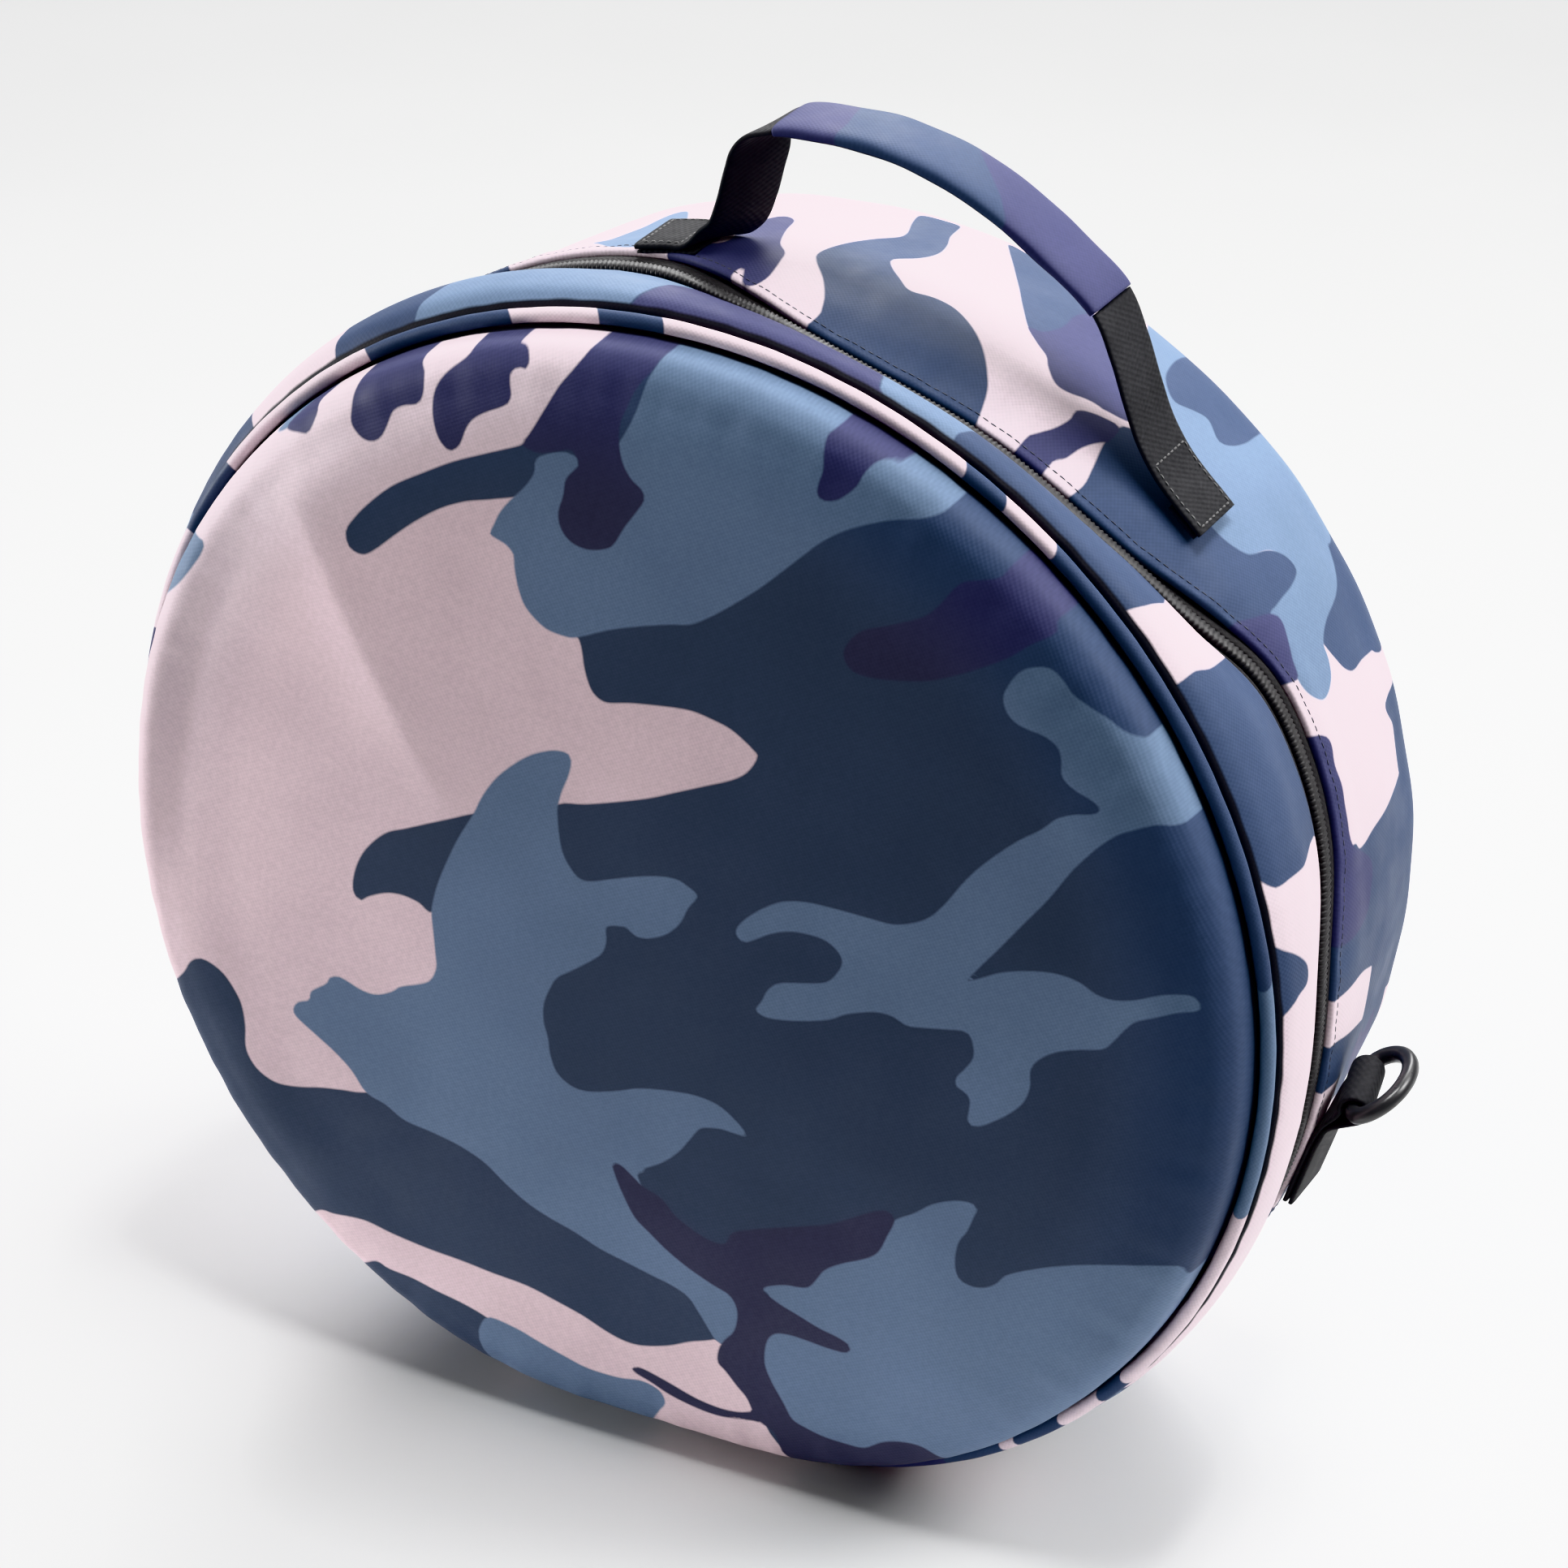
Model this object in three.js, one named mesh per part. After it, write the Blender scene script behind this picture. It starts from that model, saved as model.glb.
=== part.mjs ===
import * as THREE from "three";

// Round zip bag for a diving regulator. Millimetres and degrees.
// The bag is laid out in its own frame: X to its right seen from the front, Y from the
// front piping ring (Y = 0) towards the back, Z from the drum's axis towards the carry
// handle. Angles run around the drum from the handle towards the right. The whole bag
// then leans so that it rests on its flattened underside.

// Drum
const RING_R = 160; // centreline radius of the piping ring
const LEAN = 17.5; // how far the carry handle leans to the right of straight up
const AXIS_HEIGHT = 154.6; // drum axis over the surface the bag rests on
const RING_Y = -58; // piping ring's place along the depth of the bag
const STEPS = 48; // sections around the drum
const GAP = 0.35; // clearance between neighbouring pieces

// Flattened underside
const CONTACT = 180 - LEAN; // angle that faces the surface
const FLAT_R = 162.4; // skins of this radius and more are pressed flat
const FLAT_HALF = 10; // half angle of the flat
const SHOULDER = 38; // half angle at which the drum is round again

// Padded cloth walls
const PANEL_WALL = 5;
const BAND_WALL = 2.6;
const GUSSET_WALL = 3;
const BACK_WALL = 3;
const PIPING_RADIUS = 2.2;

// Zip
const COIL_HALF = 2.3; // half width of the coil
const TAPE_START = 2.7; // from the zip's centreline to the tape
const TAPE_END = 8.6; // to the tape's hidden edge
const CLOTH_EDGE = 6; // to the folded edges of the cloth on either side
const TAPE_THICK = 1.2;
const BAND_EDGE_R = 160.6; // skin radius at the band's zip edge
const HINGE_FROM = 147.5; // the zip ends here, and the cloth hinge starts
const HINGE_TO = 215;

// The zip's course around the drum: depth behind the piping, how far the cloth sinks in
// along it, how far the front band bulges over its edges, how far the gusset's crown
// swells, and how much fuller the front panel's edge is.
const ZIP_COURSE = [
  { angle: -180, depth: 34, dip: 0, bulge: 0, swell: 0, full: 1.2 },
  { angle: -130, depth: 35, dip: 0, bulge: 1.5, swell: 0, full: 1.38 },
  { angle: -90, depth: 37, dip: 0, bulge: 4, swell: 0, full: 1.1 },
  { angle: -60, depth: 39, dip: 0, bulge: 6, swell: 0, full: 1 },
  { angle: -38, depth: 39, dip: 0, bulge: 5, swell: 0, full: 1 },
  { angle: -26, depth: 35, dip: 1, bulge: 4, swell: 0, full: 1 },
  { angle: -16, depth: 29, dip: 3, bulge: 3.5, swell: 0, full: 1 },
  { angle: -4, depth: 25.5, dip: 6, bulge: 3.4, swell: 0, full: 1 },
  { angle: 10, depth: 27, dip: 6.5, bulge: 3.6, swell: 1, full: 1 },
  { angle: 24, depth: 28.5, dip: 5, bulge: 3.8, swell: 2.6, full: 1 },
  { angle: 34, depth: 33, dip: 2, bulge: 4, swell: 3, full: 1 },
  { angle: 42, depth: 41, dip: 0, bulge: 4, swell: 2.8, full: 1 },
  { angle: 50, depth: 43.5, dip: 0, bulge: 3.8, swell: 2.4, full: 1 },
  { angle: 58, depth: 42, dip: 0, bulge: 3.4, swell: 2, full: 1 },
  { angle: 68, depth: 34, dip: 0, bulge: 3, swell: 1.4, full: 1 },
  { angle: 78, depth: 33, dip: 0, bulge: 2.6, swell: 0.8, full: 1 },
  { angle: 90, depth: 36, dip: 0, bulge: 2.4, swell: 0.2, full: 1 },
  { angle: 115, depth: 35, dip: 0, bulge: 2.6, swell: 0, full: 1 },
  { angle: 150, depth: 34, dip: 0, bulge: 0, swell: 0, full: 1 },
  { angle: 180, depth: 34, dip: 0, bulge: 0, swell: 0, full: 1.2 },
];

// Front panel, outer and inner skins: radius and how far forward of the piping.
const PANEL_OUTER = [
  { radius: 157.3, rise: 0.8 },
  { radius: 156.8, rise: 5 },
  { radius: 155.2, rise: 9.5 },
  { radius: 151.5, rise: 13 },
  { radius: 143, rise: 15.5 },
  { radius: 122, rise: 17.6 },
  { radius: 84, rise: 19.4 },
  { radius: 42, rise: 20.6 },
];
const PANEL_RISE = 21;
const PANEL_RIM_BACK = 2.2; // the rim's rear face behind the piping plane
const PANEL_INNER = [
  { radius: 152.4, rise: 2.5 },
  { radius: 149, rise: 7.4 },
  { radius: 140, rise: 10.5 },
  { radius: 110, rise: 13.2 },
  { radius: 60, rise: 15.3 },
];

// Front band: place across the band and share of its bulge.
const BAND_FRONT_R = 161.6;
const BAND_ROWS = [
  { across: 0, bulge: 0 },
  { across: 0.1, bulge: 0.55 },
  { across: 0.3, bulge: 0.95 },
  { across: 0.5, bulge: 1 },
  { across: 0.75, bulge: 0.55 },
  { across: 1, bulge: 0 },
];

// Rear gusset: rows near the zip by place between the zip edge and CROWN_Y, each with
// its radius and share of the zip's dip, then rows around the rounded rear edge. The
// underside is pressed out to rest on the surface, at its own radius.
const CROWN_Y = 62;
const GUSSET_FRONT = [
  { across: 0, radius: 160.8, under: 161.4, dip: 1, swell: 0, wall: 2.4 },
  { across: 0.3, radius: 160.6, under: 162.6, dip: 0.5, swell: 0.5, wall: 2.6 },
  { across: 1, radius: 158.4, under: 162.8, dip: 0, swell: 1, wall: 3 },
];
const GUSSET_REAR = [
  { depth: 84, radius: 155.8, under: 162.8, swell: 0.9, inY: 83.8, inside: 3 },
  { depth: 99, radius: 153.6, under: 161.8, swell: 0.6, inY: 98.2, inside: 3 },
  { depth: 108.5, radius: 152, under: 158.8, swell: 0.4, inY: 106.4, inside: 2.8 },
  { depth: 113.6, radius: 149.6, under: 154, swell: 0.2, inY: 110.6, inside: 2.4 },
  { depth: 117, radius: 143.6, under: 143.6, swell: 0, inY: 113.8, inside: 0 },
];
const UNDER_FULL = 22; // half angle of the pressed part, and where it ends
const UNDER_END = 52;

// Back panel
const BACK_ROWS = [
  { radius: 143.25, depth: 117 },
  { radius: 110, depth: 118.4 },
  { radius: 55, depth: 119.6 },
];
const BACK_DEPTH = 120;

// Carry handle: route of its webbing in the bag's X and Z, from the left foot to the
// right one.
const HANDLE_Y = 53;
const WEB_WIDTH = 19.5;
const WEB_THICK = 1.7;
const FOOT_R = 161.4; // left foot
const FOOT_R_RIGHT = 164.2;
const FOOT_LEFT = [-30.2, -27.2, -24.4];
const FOOT_RIGHT = [25.2, 26.9, 28.4];
const HANDLE_ROUTE = [
  { x: -61.4, z: 153.6 },
  { x: -60.6, z: 161 },
  { x: -61, z: 171 },
  { x: -60.6, z: 181 },
  { x: -55.4, z: 186.4 },
  { x: -43, z: 191.4 },
  { x: -30, z: 195 },
  { x: -14, z: 196.4 },
  { x: 2, z: 194.8 },
  { x: 18, z: 190.4 },
  { x: 34.6, z: 184 },
  { x: 42.8, z: 175.4 },
  { x: 49.6, z: 166.4 },
  { x: 56, z: 158.6 },
  { x: 63, z: 152.6 },
];
const GRIP_FIRST = 4; // rows of the route between which the grip is
const GRIP_LAST = 10;
const GRIP_WIDTH = 21;
const GRIP_THICK = 4.8;

// Side ring on its webbing tab
const TAB_ANGLE = 89.8; // middle of the sewn part
const TAB_Y = 51;
const TAB_SEAT_R = 160.6; // underside of the tab
const TAB_LOW = -15; // ends of the sewn part, along the tab
const TAB_HIGH = 11;
const TAB_THICK = 3; // two layers of webbing
const EYE_ALONG = 20; // middle of the folded loop
const EYE_OUT = 5.5;
const EYE_RADIUS = 4.5;
const EYE_HOLE = 2.9;
const TAB_TWIST = 12; // how far the loop has turned about the tab's length
const RING_BAR = 25.6; // between the middles of the two arms
const RING_REACH = 13.6; // bar to the middle of the bow
const RING_WIRE = 2.1;
const RING_LIFT = 42; // ring's lean away from the tab's line

// Zip slider
const SLIDER_ANGLE = -120;

const rad = THREE.MathUtils.degToRad;
const wrap = (a) => ((((a + 180) % 360) + 360) % 360) - 180;

// Value of one column at an angle, along a smooth curve through the rows.
function course(column, angle) {
  const a = wrap(angle);
  let i = 0;
  while (i < ZIP_COURSE.length - 2 && ZIP_COURSE[i + 1].angle <= a) i += 1;
  const [p, q] = [ZIP_COURSE[i], ZIP_COURSE[i + 1]];
  const t = THREE.MathUtils.smoothstep(a, p.angle, q.angle);
  const u = (a - p.angle) / (q.angle - p.angle);
  return THREE.MathUtils.lerp(p[column], q[column], (t + u) / 2);
}

// How far the underside's cloth is pushed in at an angle.
function sink(angle) {
  const d = Math.abs(wrap(angle - CONTACT));
  if (d >= SHOULDER) return 0;
  if (d <= FLAT_HALF) return FLAT_R - AXIS_HEIGHT / Math.cos(rad(d));
  const a = rad(FLAT_HALF);
  const h = rad(SHOULDER) - a;
  const t = (rad(d) - a) / h;
  const from = AXIS_HEIGHT / Math.cos(a);
  const slope = (h * AXIS_HEIGHT * Math.sin(a)) / Math.cos(a) ** 2;
  const r =
    (2 * t ** 3 - 3 * t ** 2 + 1) * from +
    (t ** 3 - 2 * t ** 2 + t) * slope +
    (3 * t ** 2 - 2 * t ** 3) * FLAT_R;
  return FLAT_R - r;
}

const DOWN = { x: Math.sin(rad(CONTACT)), z: Math.cos(rad(CONTACT)) };

// A point of the drum, kept at least lift over the surface that the bag rests on.
function place(angle, radius, depth, lift = 0) {
  const r = radius - sink(angle) * (radius / FLAT_R) ** 3;
  let x = r * Math.sin(rad(angle));
  let z = r * Math.cos(rad(angle));
  const under = x * DOWN.x + z * DOWN.z - (AXIS_HEIGHT - lift);
  if (under > 0) {
    x -= under * DOWN.x;
    z -= under * DOWN.z;
  }
  return new THREE.Vector3(x, depth, z);
}

// Closed solid from equal rings of points: either around in a loop, or with end caps.
function loft(rings, loop) {
  const n = rings[0].length;
  const positions = rings.flat().flatMap((p) => [p.x, p.y, p.z]);
  const index = [];
  const last = loop ? rings.length : rings.length - 1;
  for (let j = 0; j < last; j += 1) {
    const a = j * n;
    const b = ((j + 1) % rings.length) * n;
    for (let i = 0; i < n; i += 1) {
      const k = (i + 1) % n;
      index.push(a + i, a + k, b + k, a + i, b + k, b + i);
    }
  }
  if (!loop) {
    for (const [ring, start, flip] of [
      [rings[0], 0, true],
      [rings[rings.length - 1], (rings.length - 1) * n, false],
    ]) {
      const c = ring.reduce((s, p) => s.clone().add(p), new THREE.Vector3()).divideScalar(n);
      const normal = new THREE.Vector3();
      ring.forEach((p, i) => {
        normal.add(p.clone().sub(c).cross(ring[(i + 1) % n].clone().sub(c)));
      });
      normal.normalize();
      const u = ring[0].clone().sub(c).normalize();
      const v = normal.clone().cross(u);
      const flat = ring.map((p) => {
        const d = p.clone().sub(c);
        return new THREE.Vector2(d.dot(u), d.dot(v));
      });
      for (const [a, b, d] of THREE.ShapeUtils.triangulateShape(flat, [])) {
        index.push(start + a, start + (flip ? d : b), start + (flip ? b : d));
      }
    }
  }
  return solid(positions, index);
}

// Closed disc-like shell: rings from the middle of one skin, around the rim, to the
// middle of the other.
function dish(first, rings, last) {
  const n = rings[0].length;
  const positions = [first, ...rings.flat(), last].flatMap((p) => [p.x, p.y, p.z]);
  const end = 1 + rings.length * n;
  const index = [];
  for (let i = 0; i < n; i += 1) {
    const k = (i + 1) % n;
    index.push(0, 1 + i, 1 + k);
    for (let j = 0; j < rings.length - 1; j += 1) {
      const a = 1 + j * n;
      index.push(a + i, a + n + i, a + n + k, a + i, a + n + k, a + k);
    }
    const b = 1 + (rings.length - 1) * n;
    index.push(b + i, end, b + k);
  }
  return solid(positions, index);
}

// Geometry from points and triangles, facing outwards.
function solid(positions, index) {
  let volume = 0;
  const p = (i) => new THREE.Vector3().fromArray(positions, 3 * i);
  for (let t = 0; t < index.length; t += 3) {
    volume += p(index[t]).dot(p(index[t + 1]).cross(p(index[t + 2])));
  }
  if (volume < 0) {
    for (let t = 0; t < index.length; t += 3) {
      [index[t + 1], index[t + 2]] = [index[t + 2], index[t + 1]];
    }
  }
  const g = new THREE.BufferGeometry();
  g.setAttribute("position", new THREE.Float32BufferAttribute(positions, 3));
  g.setIndex(index);
  g.computeVertexNormals();
  return g;
}

const ANGLES = Array.from({ length: STEPS }, (_, j) => CONTACT + (360 / STEPS) * j);
const arc = (from, to) => {
  const n = Math.round((to - from) / (360 / STEPS));
  return Array.from({ length: n + 1 }, (_, j) => from + ((to - from) * j) / n);
};

// ---- sections ----
const zipAt = (angle) => ({
  depth: course("depth", angle),
  dip: course("dip", angle),
  bulge: course("bulge", angle),
  swell: course("swell", angle),
});

function bandSection(angle) {
  const { depth, dip, bulge: crest } = zipAt(angle);
  const from = PIPING_RADIUS + GAP;
  const to = depth - CLOTH_EDGE;
  const skin = BAND_ROWS.map(({ across, bulge }) => ({
    y: THREE.MathUtils.lerp(from, to, across),
    r: THREE.MathUtils.lerp(BAND_FRONT_R, BAND_EDGE_R - dip, across) + bulge * crest,
  }));
  return [
    ...skin.map(({ y, r }) => place(angle, r, y)),
    ...skin.reverse().map(({ y, r }) => place(angle, r - BAND_WALL, y, BAND_WALL)),
  ];
}

function gussetSection(angle) {
  const { depth, dip, swell } = zipAt(angle);
  const from = depth + CLOTH_EDGE;
  const pressed = 1 - THREE.MathUtils.smoothstep(Math.abs(wrap(angle - CONTACT)), UNDER_FULL, UNDER_END);
  const skin = (row) => THREE.MathUtils.lerp(row.radius + swell * row.swell, row.under, pressed);
  const front = GUSSET_FRONT.map((row) => {
    const y = THREE.MathUtils.lerp(from, CROWN_Y, row.across);
    const r = skin(row) - dip * row.dip;
    return { y, r, inY: y, inR: r - row.wall };
  });
  const rear = GUSSET_REAR.map((row) => ({ y: row.depth, r: skin(row), inY: row.inY, inR: skin(row) - row.inside }));
  const rows = [...front, ...rear];
  return [
    ...rows.map(({ y, r }) => place(angle, r, y)),
    ...rows.reverse().map(({ inY, inR }) => place(angle, inR, inY, GUSSET_WALL)),
  ];
}

function pipingSection(angle) {
  const c = place(angle, RING_R, 0);
  const out = new THREE.Vector3(c.x, 0, c.z).normalize();
  return Array.from({ length: 8 }, (_, i) => {
    const a = rad(45 * i + 22.5);
    const p = c.clone().addScaledVector(out, PIPING_RADIUS * Math.cos(a));
    p.y += PIPING_RADIUS * Math.sin(a);
    return p;
  });
}

// Box section of a strip that follows the zip: offsets from its centreline and radii
// from the cloth's skin.
const stripSection = (from, to, outer, inner) => (angle) => {
  const { depth, dip } = zipAt(angle);
  return [
    place(angle, outer - dip, depth + from),
    place(angle, outer - dip, depth + to),
    place(angle, inner - dip, depth + to),
    place(angle, inner - dip, depth + from),
  ];
};

function coilSection(angle) {
  const { depth, dip } = zipAt(angle);
  return Array.from({ length: 6 }, (_, i) => {
    const a = rad(60 * i);
    return place(angle, 157.8 - dip + 1.7 * Math.sin(a), depth + COIL_HALF * Math.cos(a));
  });
}

const TAPE_R = BAND_EDGE_R - BAND_WALL - GAP;

// ---- handle ----
const onDrum = (angle, r) => new THREE.Vector3(r * Math.sin(rad(angle)), HANDLE_Y, r * Math.cos(rad(angle)));
const routePoint = ({ x, z }) => new THREE.Vector3(x, HANDLE_Y, z);

// Solid along a flat route, with a section given as across (Y) and through (thickness).
function sweep(points, section) {
  const rings = points.map((p, i) => {
    const t = points[Math.min(i + 1, points.length - 1)].clone().sub(points[Math.max(i - 1, 0)]).normalize();
    const through = new THREE.Vector3(-t.z, 0, t.x);
    return section(i / (points.length - 1)).map(({ across, thick }) => {
      const q = p.clone().addScaledVector(through, thick);
      q.y += across;
      return q;
    });
  });
  return loft(rings, false);
}

const webbing = () => [
  { across: -WEB_WIDTH / 2, thick: -WEB_THICK / 2 },
  { across: WEB_WIDTH / 2, thick: -WEB_THICK / 2 },
  { across: WEB_WIDTH / 2, thick: WEB_THICK / 2 },
  { across: -WEB_WIDTH / 2, thick: WEB_THICK / 2 },
];

// Rounded grip that narrows a little at both ends.
const grip = (t) => {
  const full = 0.72 + 0.28 * Math.sin(Math.PI * t) ** 0.5;
  return Array.from({ length: 12 }, (_, i) => {
    const a = rad(30 * i + 15);
    const c = Math.cos(a);
    const s = Math.sin(a);
    return {
      across: (GRIP_WIDTH / 2) * Math.sign(c) * Math.abs(c) ** 0.5 * (0.9 + 0.1 * full),
      thick: (GRIP_THICK / 2) * Math.sign(s) * Math.abs(s) ** 0.7 * full,
    };
  });
};

const route = HANDLE_ROUTE.map(routePoint);
const handleCurve = new THREE.CatmullRomCurve3([
  ...FOOT_LEFT.map((a) => onDrum(a, FOOT_R)),
  ...route,
  ...FOOT_RIGHT.map((a) => onDrum(a, FOOT_R_RIGHT)),
]);
const rowsInAll = FOOT_LEFT.length + route.length + FOOT_RIGHT.length - 1;
const gripFrom = (FOOT_LEFT.length + GRIP_FIRST) / rowsInAll;
const gripTo = (FOOT_LEFT.length + GRIP_LAST) / rowsInAll;
const seam = GAP / handleCurve.getLength() + 0.0006;
const along = (from, to, n) =>
  Array.from({ length: n + 1 }, (_, i) => handleCurve.getPoint(THREE.MathUtils.lerp(from, to, i / n)));

// ---- side ring and tab ----
const tabOut = new THREE.Vector3(Math.sin(rad(TAB_ANGLE)), 0, Math.cos(rad(TAB_ANGLE)));
const tabUp = new THREE.Vector3(-Math.cos(rad(TAB_ANGLE)), 0, Math.sin(rad(TAB_ANGLE)));
const tabFrame = new THREE.Matrix4().makeBasis(tabUp, tabOut, new THREE.Vector3().crossVectors(tabUp, tabOut));
tabFrame.setPosition(tabOut.clone().multiplyScalar(TAB_SEAT_R).setY(TAB_Y));

// Turn about the tab's length, growing from the sewn end to the loop.
function twisted(p) {
  const share = THREE.MathUtils.smoothstep(p.x, TAB_HIGH - 8, EYE_ALONG - 2);
  const a = rad(TAB_TWIST) * share;
  const o = { y: EYE_OUT * share, z: 0 };
  const [y, z] = [p.y - o.y, p.z - o.z];
  return new THREE.Vector3(p.x, o.y + y * Math.cos(a) - z * Math.sin(a), o.z + y * Math.sin(a) + z * Math.cos(a));
}

function tabGeometry() {
  // Outline of the folded webbing from its side: a double strip that opens round the bar.
  const outline = [];
  const strip = 4;
  for (let i = 0; i <= strip; i += 1) outline.push({ x: THREE.MathUtils.lerp(TAB_LOW, TAB_HIGH, i / strip), y: 0 });
  for (let i = 0; i <= 10; i += 1) {
    const a = rad(THREE.MathUtils.lerp(-125, 125, i / 10));
    outline.push({ x: EYE_ALONG + EYE_RADIUS * Math.cos(a), y: EYE_OUT + EYE_RADIUS * Math.sin(a) });
  }
  for (let i = strip; i >= 0; i -= 1) outline.push({ x: THREE.MathUtils.lerp(TAB_LOW, TAB_HIGH, i / strip), y: TAB_THICK });
  const shape = new THREE.Shape(outline.map((p) => new THREE.Vector2(p.x, p.y)));
  const hole = Array.from({ length: 12 }, (_, i) => {
    const a = rad(30 * i);
    return new THREE.Vector2(EYE_ALONG + EYE_HOLE * Math.cos(a), EYE_OUT + EYE_HOLE * Math.sin(a));
  });
  shape.holes.push(new THREE.Path(hole));
  const g = new THREE.ExtrudeGeometry(shape, { depth: WEB_WIDTH, bevelEnabled: false, steps: 4 });
  g.translate(0, 0, -WEB_WIDTH / 2);
  return bend(g);
}

// Apply the tab's twist and frame to every vertex.
function bend(g) {
  const pos = g.getAttribute("position");
  const p = new THREE.Vector3();
  for (let i = 0; i < pos.count; i += 1) {
    p.fromBufferAttribute(pos, i);
    const q = twisted(p).applyMatrix4(tabFrame);
    pos.setXYZ(i, q.x, q.y, q.z);
  }
  g.computeVertexNormals();
  return g;
}

// The ring about its bar: a straight bar, two arms and a round bow, as one closed loop.
function ringGeometry() {
  const half = RING_BAR / 2;
  const corner = 4;
  const line = [];
  for (let i = 0; i <= 4; i += 1) line.push([0, THREE.MathUtils.lerp(-half + corner, half - corner, i / 4)]);
  for (let i = 1; i <= 3; i += 1) {
    const a = rad(30 * i);
    line.push([corner - corner * Math.cos(a), half - corner + corner * Math.sin(a)]);
  }
  for (let i = 1; i <= 11; i += 1) {
    const a = rad(90 - 15 * i);
    line.push([RING_REACH - half + half * Math.cos(a), half * Math.sin(a)]);
  }
  for (let i = 3; i >= 1; i -= 1) {
    const a = rad(30 * i);
    line.push([corner - corner * Math.cos(a), -(half - corner + corner * Math.sin(a))]);
  }
  const turn = rad(RING_LIFT);
  const rings = line.map(([u, v], i) => {
    const a = line[(i + line.length - 1) % line.length];
    const b = line[(i + 1) % line.length];
    const t = new THREE.Vector2(b[0] - a[0], b[1] - a[1]).normalize();
    return Array.from({ length: 8 }, (_, k) => {
      const w = rad(45 * k);
      const du = u + t.y * RING_WIRE * Math.cos(w);
      const dv = v - t.x * RING_WIRE * Math.cos(w);
      const dn = RING_WIRE * Math.sin(w);
      return new THREE.Vector3(
        EYE_ALONG + du * Math.cos(turn) - dn * Math.sin(turn),
        EYE_OUT + du * Math.sin(turn) + dn * Math.cos(turn),
        dv,
      );
    });
  });
  const twist = rad(TAB_TWIST);
  const placed = rings.map((ring) =>
    ring.map((p) => {
      const y = p.y - EYE_OUT;
      return new THREE.Vector3(
        p.x,
        EYE_OUT + y * Math.cos(twist) - p.z * Math.sin(twist),
        y * Math.sin(twist) + p.z * Math.cos(twist),
      ).applyMatrix4(tabFrame);
    }),
  );
  return loft(placed, true);
}

// Zip slider with its pull, seen from its side and drawn out across the zip.
function sliderGeometry() {
  const shape = new THREE.Shape(
    [
      [-6, 0],
      [6, 0],
      [6, 2.2],
      [4.5, 3.4],
      [-4, 3.4],
      [-27, 3.4],
      [-27, 2.2],
      [-6, 2.2],
    ].map(([x, y]) => new THREE.Vector2(x, y)),
  );
  const g = new THREE.ExtrudeGeometry(shape, { depth: 8, bevelEnabled: false });
  g.translate(0, 0, -4);
  return g;
}

// ---- materials ----
const cloth = (color) => new THREE.MeshStandardMaterial({ color, roughness: 0.9, metalness: 0 });
const printed = cloth(0x7f8ba3);
const printedPale = cloth(0xb9b4c0);
const blackWeb = new THREE.MeshStandardMaterial({ color: 0x1d1d1f, roughness: 0.8, metalness: 0 });
const blackPlastic = new THREE.MeshStandardMaterial({ color: 0x161617, roughness: 0.45, metalness: 0 });

// ---- assembly ----
const bag = new THREE.Group();
bag.rotation.y = rad(LEAN);
bag.position.set(0, RING_Y, AXIS_HEIGHT);
function add(name, geometry, material) {
  const mesh = new THREE.Mesh(geometry, material);
  mesh.name = name;
  bag.add(mesh);
  return mesh;
}

const fullness = (a, r) => 1 + (course("full", a) - 1) * (r / RING_R) ** 4;
const ringOf = (row, sign) => ANGLES.map((a) => place(a, row.radius, sign * row.rise * fullness(a, row.radius)));
add(
  "front_panel",
  dish(
    new THREE.Vector3(0, -PANEL_RISE, 0),
    [
      ...[...PANEL_OUTER].reverse().map((row) => ringOf(row, -1)),
      ANGLES.map((a) => place(a, PANEL_OUTER[0].radius, PANEL_RIM_BACK)),
      ANGLES.map((a) => place(a, PANEL_INNER[0].radius, PANEL_RIM_BACK)),
      ...PANEL_INNER.map((row) => ringOf(row, -1)),
    ],
    new THREE.Vector3(0, -PANEL_RISE + PANEL_WALL, 0),
  ),
  printed,
);
add("front_piping", loft(ANGLES.map(pipingSection), true), printed);
add("front_band", loft(ANGLES.map(bandSection), true), printedPale);
const zipRun = arc(HINGE_TO - 360, HINGE_FROM);
add("zip_tape_front", loft(zipRun.map(stripSection(-TAPE_END, -TAPE_START, TAPE_R, TAPE_R - TAPE_THICK)), false), blackWeb);
add("zip_coil", loft(zipRun.map(coilSection), false), blackPlastic);
add("zip_tape_rear", loft(zipRun.map(stripSection(TAPE_START, TAPE_END, TAPE_R, TAPE_R - TAPE_THICK)), false), blackWeb);
const hingeRun = arc(HINGE_FROM, HINGE_TO);
hingeRun[0] += 0.2;
hingeRun[hingeRun.length - 1] -= 0.2;
add("hinge_strip", loft(hingeRun.map(stripSection(-CLOTH_EDGE + GAP, CLOTH_EDGE - GAP, BAND_EDGE_R, BAND_EDGE_R - 2)), false), printed);
add("rear_gusset", loft(ANGLES.map(gussetSection), true), printedPale);
const backRing = (row, shift) => ANGLES.map((a) => place(a, row.radius, row.depth - shift));
add(
  "back_panel",
  dish(
    new THREE.Vector3(0, BACK_DEPTH, 0),
    [
      ...[...BACK_ROWS].reverse().map((row) => backRing(row, 0)),
      ...BACK_ROWS.map((row) => backRing(row, BACK_WALL)),
    ],
    new THREE.Vector3(0, BACK_DEPTH - BACK_WALL, 0),
  ),
  printed,
);
add("handle_grip", sweep(along(gripFrom, gripTo, 20), grip), printed);
add("handle_strap_left", sweep(along(0, gripFrom - seam, 16), webbing), blackWeb);
add("handle_strap_right", sweep(along(gripTo + seam, 1, 16), webbing), blackWeb);
add("ring_tab", tabGeometry(), blackWeb);
add("side_ring", ringGeometry(), blackPlastic);

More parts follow.
